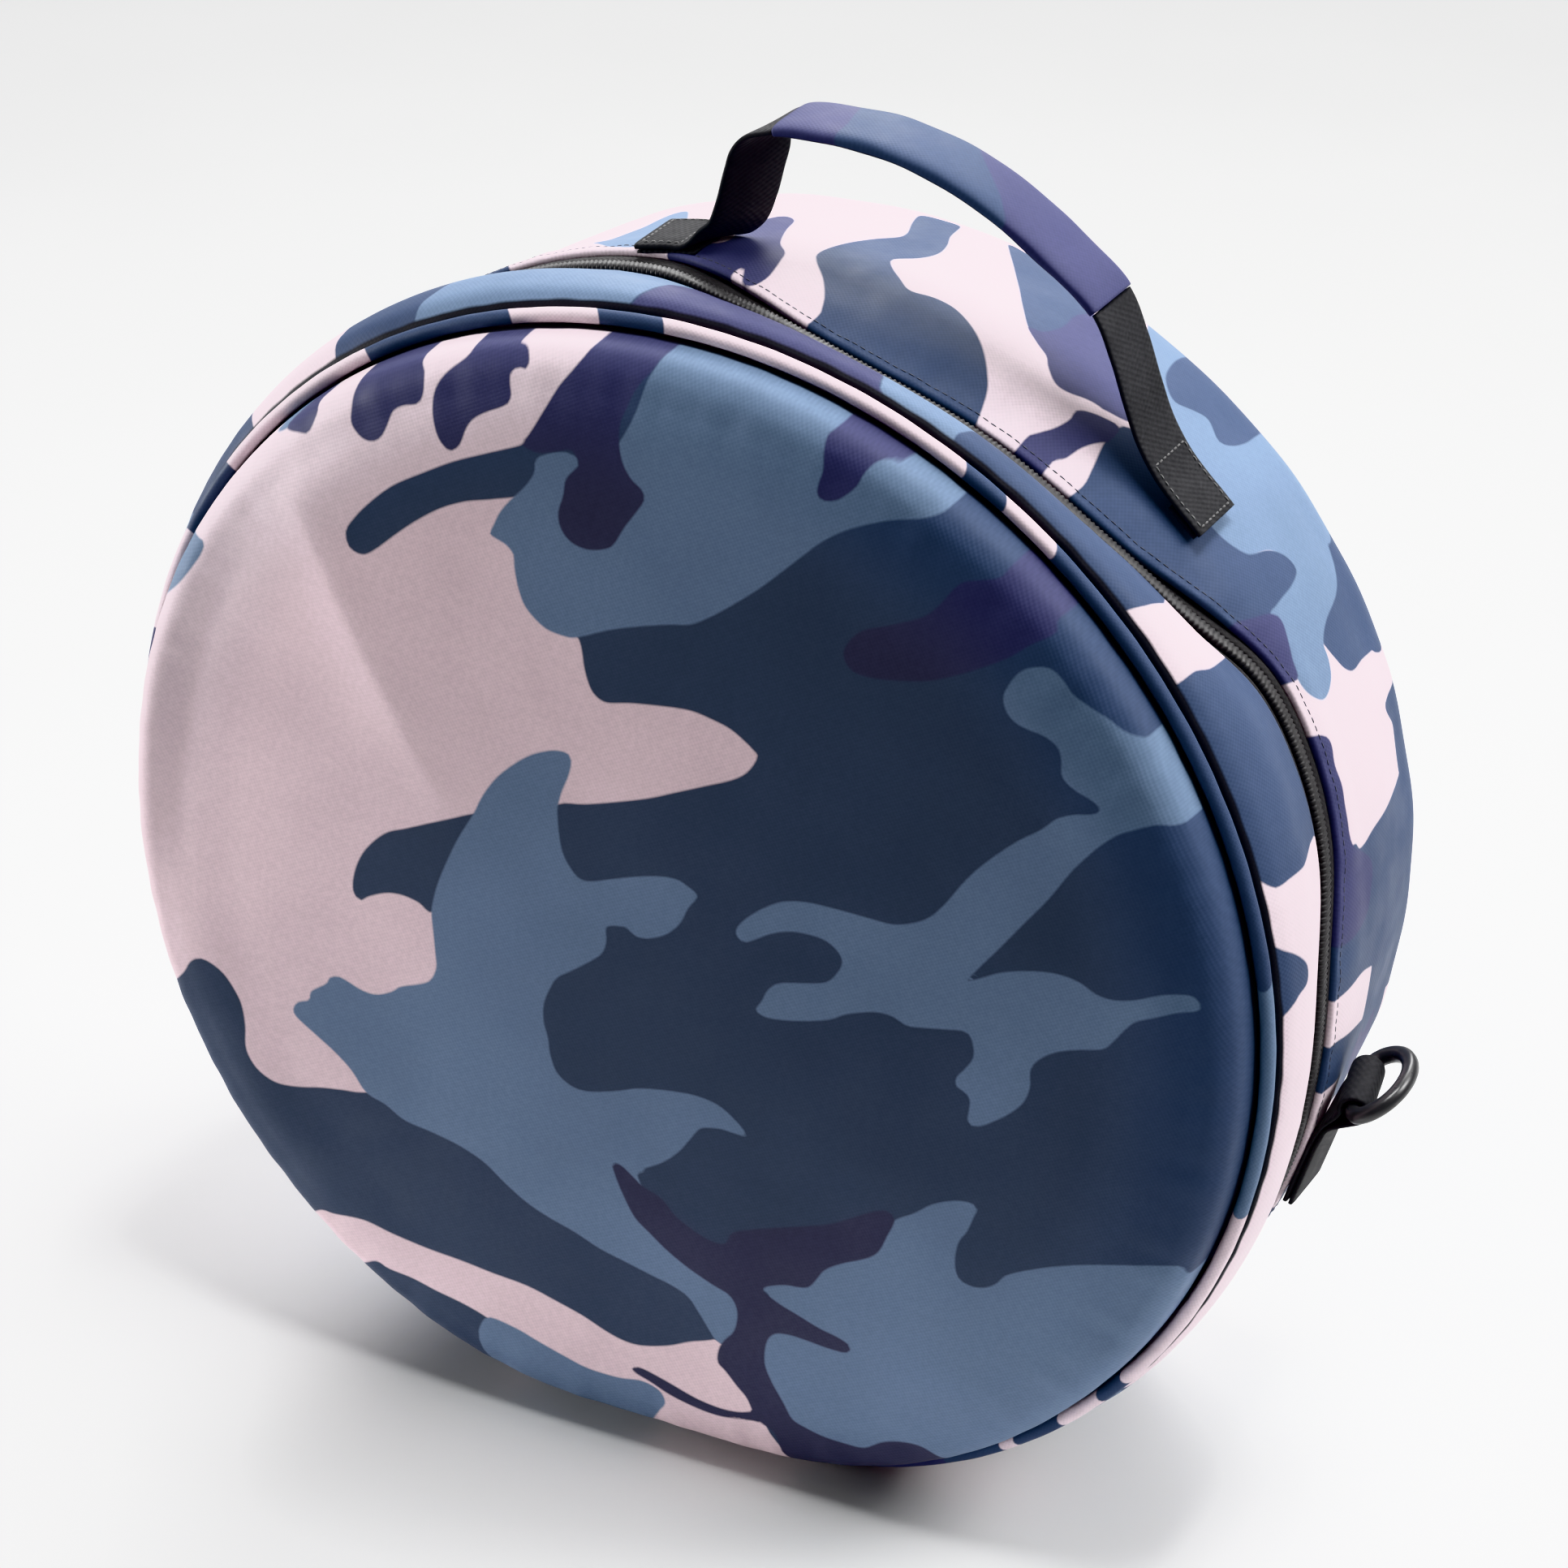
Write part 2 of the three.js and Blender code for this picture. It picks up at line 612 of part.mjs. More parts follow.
const slider = add("zip_slider", sliderGeometry(), blackPlastic);
{
  const out = new THREE.Vector3(Math.sin(rad(SLIDER_ANGLE)), 0, Math.cos(rad(SLIDER_ANGLE)));
  const on = new THREE.Vector3(-Math.cos(rad(SLIDER_ANGLE)), 0, Math.sin(rad(SLIDER_ANGLE)));
  const m = new THREE.Matrix4().makeBasis(on, out, new THREE.Vector3().crossVectors(on, out));
  slider.setRotationFromMatrix(m);
  const at = zipAt(SLIDER_ANGLE);
  slider.position.copy(out.multiplyScalar(159.9)).setY(at.depth);
}

const object = new THREE.Group();
object.add(bag);
export default object;
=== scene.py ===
import math

import bpy
import numpy as np
from mathutils import Matrix

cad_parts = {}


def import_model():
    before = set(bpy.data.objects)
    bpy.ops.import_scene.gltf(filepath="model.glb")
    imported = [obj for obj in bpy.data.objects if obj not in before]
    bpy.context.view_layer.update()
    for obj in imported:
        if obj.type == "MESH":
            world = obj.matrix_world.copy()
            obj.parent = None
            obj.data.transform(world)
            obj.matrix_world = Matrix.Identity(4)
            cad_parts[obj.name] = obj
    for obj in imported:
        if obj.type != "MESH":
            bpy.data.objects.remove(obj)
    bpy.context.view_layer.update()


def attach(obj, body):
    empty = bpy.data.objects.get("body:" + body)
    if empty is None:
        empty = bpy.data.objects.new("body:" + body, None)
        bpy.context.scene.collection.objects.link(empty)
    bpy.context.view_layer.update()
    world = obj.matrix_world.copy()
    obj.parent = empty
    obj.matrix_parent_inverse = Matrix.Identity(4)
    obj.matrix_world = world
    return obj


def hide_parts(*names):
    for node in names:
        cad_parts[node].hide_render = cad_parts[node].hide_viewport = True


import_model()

# Round zip bag. Lengths in millimetres and angles in degrees until a mesh is made. The
# bag has its own frame: x to its right, y from the piping ring to the back, z towards the
# carry handle. It leans LEAN degrees and its axis is AXIS_HEIGHT over the floor.
DEG = math.pi / 180
RING_R = 160.0
LEAN = 17.5
AXIS_HEIGHT = 154.6
RING_Y = -58.0
CONTACT = 180 - LEAN
FLAT_R = 162.4
FLAT_HALF = 10.0
SHOULDER = 38.0
PIPING_RADIUS = 2.2
WELT_RADIUS = 1.85
CLOTH_EDGE = 6.0
BAND_FRONT_R = 161.6
BAND_EDGE_R = 160.6
CROWN_Y = 62.0
TAPE_R = 157.65
HINGE_FROM = 147.5
HINGE_TO = 215.0
HANDLE_Y = 53.0
WEB_WIDTH = 19.5
WEB_THICK = 1.7

# Zip course: angle, depth, dip, bulge, swell, full
ZIP_COURSE = np.array([
    (-180, 34, 0, 0, 0, 1.2), (-130, 35, 0, 1.5, 0, 1.38), (-90, 37, 0, 4, 0, 1.1),
    (-60, 39, 0, 6, 0, 1), (-38, 39, 0, 5, 0, 1), (-26, 35, 1, 4, 0, 1), (-16, 29, 3, 3.5, 0, 1),
    (-4, 25.5, 6, 3.4, 0, 1), (10, 27, 6.5, 3.6, 1, 1), (24, 28.5, 5, 3.8, 2.6, 1),
    (34, 33, 2, 4, 3, 1), (42, 41, 0, 4, 2.8, 1), (50, 43.5, 0, 3.8, 2.4, 1),
    (58, 42, 0, 3.4, 2, 1), (68, 34, 0, 3, 1.4, 1), (78, 33, 0, 2.6, 0.8, 1),
    (90, 36, 0, 2.4, 0.2, 1), (115, 35, 0, 2.6, 0, 1), (150, 34, 0, 0, 0, 1),
    (180, 34, 0, 0, 0, 1.2),
], float)
COLUMN = {"depth": 1, "dip": 2, "bulge": 3, "swell": 4, "full": 5}

# Front panel's outer skin from its middle to its seam: radius, rise
PANEL_SKIN = np.array([
    (0, 21), (42, 20.6), (84, 19.4), (122, 17.6), (145.5, 15.4), (153, 12.8), (156, 9.4),
    (157, 5), (157.3, 0.8), (156.9, -1), (155.4, -2.1), (152.4, -2.2),
], float)
PANEL_LINING = np.array([
    (152.4, 2.5), (149, 7.4), (140, 10.5), (110, 13.2), (60, 15.3), (0, 16),
], float)
# Band: place across, share of its bulge
BAND_ROWS = np.array([(0, 0), (0.1, 0.55), (0.3, 0.95), (0.5, 1), (0.75, 0.55), (1, 0)], float)
# Gusset: place between the zip and its crown, radius, radius underneath, dip, swell
GUSSET_FRONT = np.array([
    (0, 160.8, 161.4, 1, 0), (0.3, 160.6, 162.6, 0.5, 0.5), (1, 158.4, 162.8, 0, 1),
], float)
# and behind the crown: depth, radius, radius underneath, swell
GUSSET_REAR = np.array([
    (84, 155.8, 162.8, 0.9), (99, 153.6, 161.8, 0.6), (108.5, 152, 158.8, 0.4),
    (113.6, 149.6, 154, 0.2), (117, 143.6, 143.6, 0),
], float)
BACK_SKIN = np.array([(0, 120), (55, 119.6), (110, 118.4), (143.25, 117)], float)
# Carry handle: x, z of its webbing from foot to foot
HANDLE_ROUTE = [
    (-61.4, 153.6), (-60.6, 161), (-61, 171), (-60.6, 181), (-55.4, 186.4), (-43, 191.4),
    (-30, 195), (-14, 196.4), (2, 194.8), (18, 190.4), (34.6, 184), (42.8, 175.4),
    (49.6, 166.4), (56, 158.6), (63, 152.6),
]
FOOT_LEFT = (161.4, (-30.2, -27.2, -24.4))  # radius, angles
FOOT_RIGHT = (164.2, (25.2, 26.9, 28.4))
GRIP_ROWS = (4, 10)

# Outlines of the print's patches on the front panel: x, z in the bag's frame.
PANEL_PRINT = {
    "pink": {
        "main": [
            (-44.3, 160.2), (-49.9, 148.1), (-51.6, 139), (-51.6, 121.3), (-48.3, 104.6),
            (-44.1, 88), (-42, 76), (-40.2, 74.3), (-38.5, 71.9), (-36.7, 68.1), (-34.8, 65.1),
            (-32.6, 62.7), (-29.9, 61.8), (-27.3, 62.4), (-22.7, 65.2), (-15.6, 68.8), (-7.3, 72.4),
            (-0.9, 73.4), (3.9, 73.6), (8.4, 72.6), (11.2, 71.6), (12.6, 70.8), (12.4, 67.9),
            (11.1, 64.3), (8.1, 60.5), (2.4, 55.2), (-4.3, 49), (-10, 43.7), (-17.6, 37.7),
            (-25.5, 31.9), (-32, 27.8), (-35.5, 20.6), (-34.9, -2.9), (-29.4, -40.4), (-5.6, -72.6),
            (25.5, -95), (44.1, -99.9), (56.8, -101.4), (62.7, -109.7), (69.3, -116.7), (73.8, -121),
            (78.8, -133.4), (45.7, -167.8), (-29.5, -182.8), (-103.8, -157.9), (-149.8, -113.8),
            (-171.4, -42.1), (-173.4, 23.7), (-151.9, 91.6), (-115, 136), (-74.6, 158.3),
        ],
    },
    "navy": {
        "arm": [
            (-53.6, 120.2), (-58.9, 121.7), (-66.9, 117.1), (-68.7, 115.6), (-70, 113.7),
            (-77.9, 106.8), (-85.4, 100.1), (-92.8, 92.2), (-99.2, 84.8), (-104.1, 76.3),
            (-106.7, 69.9), (-107.2, 66.7), (-105.2, 63.5), (-101.3, 63.4), (-98.4, 66.4),
            (-94.3, 73.3), (-90, 80), (-84.7, 86.8), (-79, 92.1), (-74, 95.5), (-67.1, 100.3),
            (-62.2, 103.6), (-54.8, 110.2),
        ],
        "left_mid": [
            (-45.5, 16.8), (-52.7, 11.6), (-57.6, 7.1), (-63.6, 1.4), (-69.6, -4.4), (-74.4, -8.9),
            (-77.7, -14.5), (-79.6, -20.1), (-80, -26.1), (-78.9, -31.1), (-76.2, -32.6),
            (-74.1, -29.9), (-69.8, -25.9), (-65.1, -23.6), (-59.9, -22.9), (-56.4, -23.6),
            (-51.1, -16.3), (-45.8, 0.7),
        ],
        "left_low": [
            (-59.6, -88.3), (-66.2, -91.9), (-72.2, -95.2), (-78.3, -99.1), (-84.6, -101.8),
            (-90.2, -101.5), (-94.3, -99), (-96.4, -95.7), (-97.8, -90.5), (-100.5, -84.8),
            (-104.1, -81.2), (-108.3, -78.6), (-112.7, -77.9), (-116.1, -78.8), (-118.5, -82),
            (-120.1, -87.5), (-126.3, -100.6), (-130.3, -115.6), (-115.3, -144.5), (-84.9, -157),
            (-71.2, -147.3), (-63.9, -135.6), (-59.6, -133.4), (-50.6, -128.7), (-41.2, -127.4),
            (-30.6, -125.5), (-20.3, -122.9), (-11.2, -120.9), (-0.9, -118.3), (8.1, -117.6),
            (16.1, -117.3), (23.5, -117.9), (29.1, -117.6), (34.1, -115.8), (40.6, -111.1),
            (45.8, -105.8), (51.7, -100.6), (54, -95.8), (46.5, -89.1), (31.7, -81.6), (-0, -74.6),
            (-25.2, -74.7), (-45.1, -76.9),
        ],
        "edge_low": [
            (-45.1, -141.4), (-40, -140.3), (-33.2, -138.2), (-25, -137.2), (-15.7, -135.9),
            (-7.6, -135.9), (1.3, -137.6), (-8.7, -161.2), (-41, -159.8), (-52.8, -155.8),
        ],
    },
    "blue": {
        "edge_left": [
            (-140.4, 75.2), (-137, 75.3), (-133.4, 79.5), (-131.3, 84.1), (-129, 90.4),
            (-128.3, 95.2), (-132.8, 93.8), (-139.5, 81.4),
        ],
        "edge_far": [
            (-154.4, 36.2), (-152.1, 36.3), (-146.9, 37.9), (-146.4, 34.8), (-147.8, 30.1),
            (-150.6, 22.6), (-154.1, 16.3), (-157.5, 10.9), (-158.3, 19.6), (-156.7, 31),
        ],
        "top": [
            (-63.9, 114.2), (-64.7, 111.5), (-64.1, 109.1), (-65.5, 104.1), (-67.9, 99.1),
            (-69.6, 94.5), (-70.1, 90.6), (-70.4, 87.8), (-68.6, 87.4), (-65.5, 87.3), (-62.9, 86),
            (-61.9, 83.4), (-60.5, 80.6), (-58.9, 77.9), (-56.2, 74.7), (-52.5, 72.8), (-48.6, 71.9),
            (-43.6, 72.8), (-40.5, 74.4), (-33.5, 80.8), (-26.9, 85.8), (-19.2, 91), (-14, 94.1),
            (-9.5, 99.4), (-5.5, 105.1), (-0.7, 112.6), (2.9, 119.2), (6.4, 125.8), (9.2, 131),
            (13.2, 136.4), (18.2, 141.2), (23.3, 145), (29.5, 148.6), (32.9, 151.1), (34.1, 153.1),
            (36, 159.5), (38.3, 165.8), (11.1, 172), (-18.9, 168.7), (-41.4, 161.8), (-44.8, 149.3),
            (-44.6, 134.4), (-49, 120.5), (-57.9, 118.8),
        ],
        "low": [
            (-32.1, 28), (-32.2, 31.8), (-31.8, 36.7), (-32.1, 40.8), (-33.4, 42.6), (-35.9, 42.2),
            (-39, 40.3), (-42.8, 36.7), (-46.2, 31.9), (-49.4, 26), (-51.2, 21), (-52.3, 16.3),
            (-53, 11.1), (-55, 2.2), (-56.1, -5.5), (-56.8, -13), (-56.8, -18.7), (-56.2, -23.5),
            (-54.3, -28.5), (-52, -34.4), (-50.6, -38.5), (-51.2, -43.1), (-53.7, -46.1),
            (-58.7, -50.4), (-60.5, -53.3), (-64.4, -57), (-68.6, -58.4), (-72.7, -58.4),
            (-76, -58.6), (-78.4, -60.5), (-79, -63.1), (-82.4, -67.9), (-82.4, -71), (-85.1, -73.5),
            (-86, -76.3), (-84.7, -78.3), (-78.8, -79.9), (-71.4, -81.8), (-65.3, -84.3),
            (-59.6, -88.3), (-53.4, -88.4), (-47.1, -89.7), (-40, -88.5), (-34.8, -87.8),
            (-29.5, -87.4), (-22.4, -88), (-15.1, -90.6), (-7.8, -92.5), (-1, -93), (6.7, -92.8),
            (14.9, -93.3), (22.4, -92.7), (30.2, -92.1), (36.4, -91.5), (41.5, -92.1), (45.7, -95.1),
            (50, -98.8), (52.1, -100.3), (54.9, -99.7), (58.4, -89.6), (50.8, -80), (37.9, -77.3),
            (26.9, -73.2), (18.3, -64.6), (19.4, -62.4), (19.5, -60.9), (23, -56.7), (26.4, -50.6),
            (28.3, -44.7), (29.8, -39.9), (31.9, -37.9), (35.4, -36), (39, -35), (41.8, -34),
            (41.2, -32.7), (37.3, -30.8), (32.1, -29.6), (25.8, -30.8), (20, -33.4), (14.1, -36.6),
            (10.2, -39.2), (5.1, -43.6), (-1.6, -48.2), (-6.5, -49.3), (-10.9, -47.8),
            (-13.9, -43.9), (-15.9, -39.3), (-18.4, -35.1), (-19.7, -30.2), (-19.5, -25.6),
            (-18.5, -20.5), (-15.7, -16.5), (-11.2, -9.9), (-9, -5.8), (-8.9, -1.9), (-9.9, 2.3),
            (-5.4, 5.2), (-3.9, 4.9), (-1.4, 4.6), (1.9, 6.3), (5.7, 10.3), (8, 15.3), (8.7, 20.7),
            (10, 25.2), (7, 26.4), (3.4, 26.5), (-1, 24.6), (-6.4, 21), (-12.4, 16.3), (-17.7, 12.1),
            (-21, 11), (-24.2, 12.6), (-26.8, 14.9), (-29.2, 18.9), (-31.8, 25.6),
        ],
        "right": [
            (66.4, 128.2), (64.7, 125.8), (63.8, 122.3), (63.7, 118.6), (65.7, 115.6), (68.6, 114.2),
            (71.8, 114.2), (76.1, 114.7), (79.9, 113.8), (81.9, 111.3), (83.6, 107.3), (87.4, 105.7),
            (92, 105.3), (94.7, 104.3), (93.8, 102.3), (89.5, 99.6), (86.1, 96.3), (83.6, 91.5),
            (79.5, 85.7), (75.9, 79.3), (72.7, 72.6), (70.5, 66.3), (68.6, 59.6), (66.1, 53.8),
            (62.5, 49.8), (58.5, 47), (53.9, 45.6), (48.1, 44), (42.2, 42.3), (36.5, 40.3),
            (31.2, 37.2), (27.3, 32.9), (24.3, 28.2), (22.4, 24), (22.5, 21.2), (25, 20.2),
            (27.5, 22.6), (30.7, 26.5), (34.8, 29.9), (39.2, 31.9), (44.1, 33), (48.1, 31.9),
            (50.1, 29.5), (49.7, 25.6), (47.8, 21.7), (42.5, 18.1), (37.1, 14.6), (34.9, 11),
            (34.3, 6.9), (33.7, 3.5), (36.7, 3.1), (41.4, 5.2), (46.7, 8.4), (52, 12.3),
            (55.7, 16.5), (62, 21.2), (66.6, 22.6), (70.5, 22.2), (74.9, 24.3), (80.3, 27.2),
            (84.5, 29.2), (86.8, 27.8), (88.6, 23.7), (87.8, 19.4), (86.6, 15.7), (87.4, 13.3),
            (90, 12.9), (91.9, 11.2), (93.2, 5.3), (96, 5.8), (98.7, 8.9), (102, 14), (104.1, 19.1),
            (104.1, 24.2), (102.7, 28.5), (103.7, 32.6), (106.7, 36.8), (111.5, 40.7), (116.8, 44.2),
            (118.5, 47.8), (119.9, 52.2), (121.6, 56), (125, 59.3), (129.4, 63.3), (133.3, 65.8),
            (134.1, 67.4), (132.1, 69), (129.5, 68.7), (124.8, 66.2), (119.5, 61.5), (114.7, 58.4),
            (110.3, 57.5), (105.3, 58.3), (99.5, 57.2), (93.3, 54.1), (87.3, 49.8), (81.9, 44.1),
            (80.5, 43.2), (81.8, 47.6), (85, 56.5), (88, 65.4), (91.1, 74.3), (92.6, 79.9),
            (94.1, 85.6), (95.9, 90.5), (97.7, 94.8), (100.6, 99.9), (103.8, 103), (107.9, 106.3),
            (112.8, 107.8), (118.5, 113.8), (125.5, 118.3), (104.6, 134.1), (100.9, 129.4),
            (97.2, 123.2), (96, 123), (94.2, 123), (91.1, 123.7), (87.6, 125.1), (83.4, 125.9),
            (78.7, 127), (75.8, 128.9), (72.6, 130.3), (69.8, 130.2),
        ],
        "bottom": [
            (85.2, -33.3), (89.3, -27.9), (92.7, -22.6), (97.6, -18.1), (101.4, -16.4), (103.4, -17),
            (103.3, -20.1), (103.1, -25), (102.2, -28.7), (102.5, -33.1), (103.7, -37.1),
            (105.7, -39.7), (109.1, -39.9), (112.4, -38.2), (114.7, -35.2), (116, -31.7),
            (119.7, -27.5), (126.4, -21.4), (134.1, -15.5), (144.2, -9.3), (153.3, -5.3),
            (156.6, -8.2), (161.1, 3.9), (172, 4.9), (165.2, -45.1), (143.7, -84.5), (117.2, -113.6),
            (85.7, -131.3), (75.6, -117.8), (67.4, -104.5), (61.8, -93.1), (62.3, -77.7),
            (56.8, -75.6), (61.4, -66.4), (71.8, -53.2), (82, -40.3),
        ],
        "edge_low": [
            (-9.3, -136.5), (-1.2, -133.7), (6.7, -133.5), (14.7, -133.3), (22.4, -132.8),
            (30.9, -130.1), (36.8, -127), (41.9, -126.8), (44.5, -129.4), (43.8, -134.2),
            (36.1, -153), (11.7, -158.7), (-7.5, -148.7),
        ],
    },
    "purple": {
        "edge_left": [
            (-133.9, 78.9), (-129.2, 81.5), (-126.7, 82.9), (-126, 85.2), (-126.3, 88.7),
            (-127.5, 90.4), (-124.6, 97.8), (-122.3, 102.2), (-121.7, 107.3), (-129.1, 98.3),
            (-131.2, 92.3), (-130.8, 88.8), (-133.7, 81.3),
        ],
        "top_a": [
            (-117.6, 107.3), (-118.5, 104.3), (-118.2, 99.9), (-116.7, 96.5), (-115.1, 93.2),
            (-111.3, 91.9), (-108, 92.6), (-105.8, 95.1), (-105.2, 98.9), (-105.1, 102.7),
            (-102.8, 105.6), (-99.4, 108.1), (-99, 111.4), (-100.9, 115.3), (-103.7, 117.1),
            (-103, 125), (-119.4, 112.3),
        ],
        "top_b": [
            (-91.7, 133.7), (-91.7, 125.7), (-92.6, 123.5), (-95, 119.3), (-96.1, 115.7),
            (-96, 112.1), (-94.4, 108.1), (-91.3, 104.1), (-88.2, 102.4), (-86.3, 102.8),
            (-84.8, 105.5), (-84.6, 109.9), (-83.7, 113.1), (-81.2, 116.5), (-76.7, 121.1),
            (-76.2, 123.7), (-77.8, 126.4), (-78.6, 128.7), (-77.3, 130.6), (-75.1, 131.6),
            (-75.6, 133.5), (-78.1, 134.9), (-80.9, 134.6), (-78.6, 143.4),
        ],
        "top_c": [
            (-57.6, 155.1), (-60, 149.3), (-62.4, 143.3), (-62.8, 141.4), (-63.9, 137.4),
            (-65.6, 132.3), (-66.6, 126.4), (-67.7, 120.8), (-68.7, 116.8), (-69.5, 114.4),
            (-64.8, 114.6), (-59.9, 117.9), (-56.6, 120), (-53.9, 117.7), (-54.8, 114.9),
            (-55.9, 111.9), (-55.2, 107.7), (-55.1, 103), (-53.2, 99.4), (-49.5, 97.5), (-45, 98),
            (-41, 100.4), (-39, 102.9), (-37.8, 108.4), (-36.1, 114.1), (-35.2, 118.1),
            (-36.8, 120.2), (-39.8, 121.2), (-43.1, 123.9), (-45.6, 128.1), (-47.1, 132.9),
            (-47, 137.3), (-46.9, 140.5), (-46.2, 144), (-45.2, 146.7), (-44.9, 148.7),
            (-44.7, 150.2), (-40.5, 158.9), (-40.1, 164.9),
        ],
        "mid": [
            (1.8, 156.9), (1.3, 156.1), (0.9, 154.6), (2, 151.9), (3.6, 148.2), (3.9, 144.5),
            (4.6, 142.1), (6.6, 141.4), (9.3, 142.9), (11.2, 145.5), (12.6, 148.5), (12.9, 151.7),
            (14, 154.5), (16.2, 155.6), (18.9, 155.8), (25.4, 161.8), (19.1, 167.4), (5.5, 168.8),
        ],
        "right": [
            (23.8, 108.4), (25.7, 115.1), (31.9, 120.6), (38.7, 126.9), (41.4, 131.8), (44, 139.1),
            (48, 142.1), (51.9, 144.4), (52.8, 147.3), (57.2, 155), (71.8, 147.3), (67.6, 140.6),
            (68.6, 138), (65, 133.8), (61.7, 128.9), (57.8, 124.4), (52.9, 119.2), (46.1, 113),
            (38.4, 108.5), (31.3, 105.4), (26.7, 105.1),
        ],
        "low": [
            (11, -65), (13.3, -64.3), (17.6, -65.7), (20.4, -66.7), (26.4, -67.1), (31.6, -69.9),
            (40.3, -71.1), (45.9, -69.4), (47.1, -64.4), (54, -58.1), (62.5, -51.3), (69.9, -45.2),
            (74.8, -39.6), (79.6, -34), (82.7, -31.9), (85.2, -33.3), (84.9, -38.9), (84.2, -45.1),
            (81.7, -49.2), (76.7, -54.4), (73, -59.4), (71.6, -64.5), (70, -68), (64.5, -71),
            (60.2, -74.7), (59.6, -76.6), (64.9, -77.6), (70.2, -77.7), (77, -77.9), (82.2, -77.4),
            (85.9, -78), (85.7, -80.6), (81, -82.5), (74.7, -84), (69.8, -85.5), (66.4, -87.7),
            (65.1, -91.7), (66.3, -98.4), (69.4, -103), (74.8, -108), (78.3, -111.5), (82.3, -112),
            (87.7, -111.6), (93.6, -110.4), (98.4, -108.4), (102.3, -103.1), (106.6, -100),
            (112.3, -98.1), (117.2, -100.8), (119.9, -107), (84.9, -128.9), (74.8, -119.8),
            (69.1, -117.8), (65.2, -113.3), (61.3, -111.1), (57.3, -108.6), (54.5, -107.1),
            (53.7, -102.5), (54.5, -98.5), (56, -94.1), (55.2, -87.9), (52, -84.2), (46.6, -83.9),
            (39.5, -83.3), (32.3, -81.8), (26.2, -79.6), (20.9, -77.4), (15.4, -71.9), (11.6, -67),
        ],
        "tail": [
            (33.5, -124.6), (35.8, -122.9), (43.4, -122.5), (52.4, -122.6), (59.2, -121.4),
            (64.1, -119.3), (68.7, -116.2), (72.2, -118.7), (69.4, -119.2), (64.7, -121.8),
            (58.6, -124.8), (52.1, -126.1), (45.5, -126.4), (39, -125.7), (34.8, -125.6),
        ],
    },
}

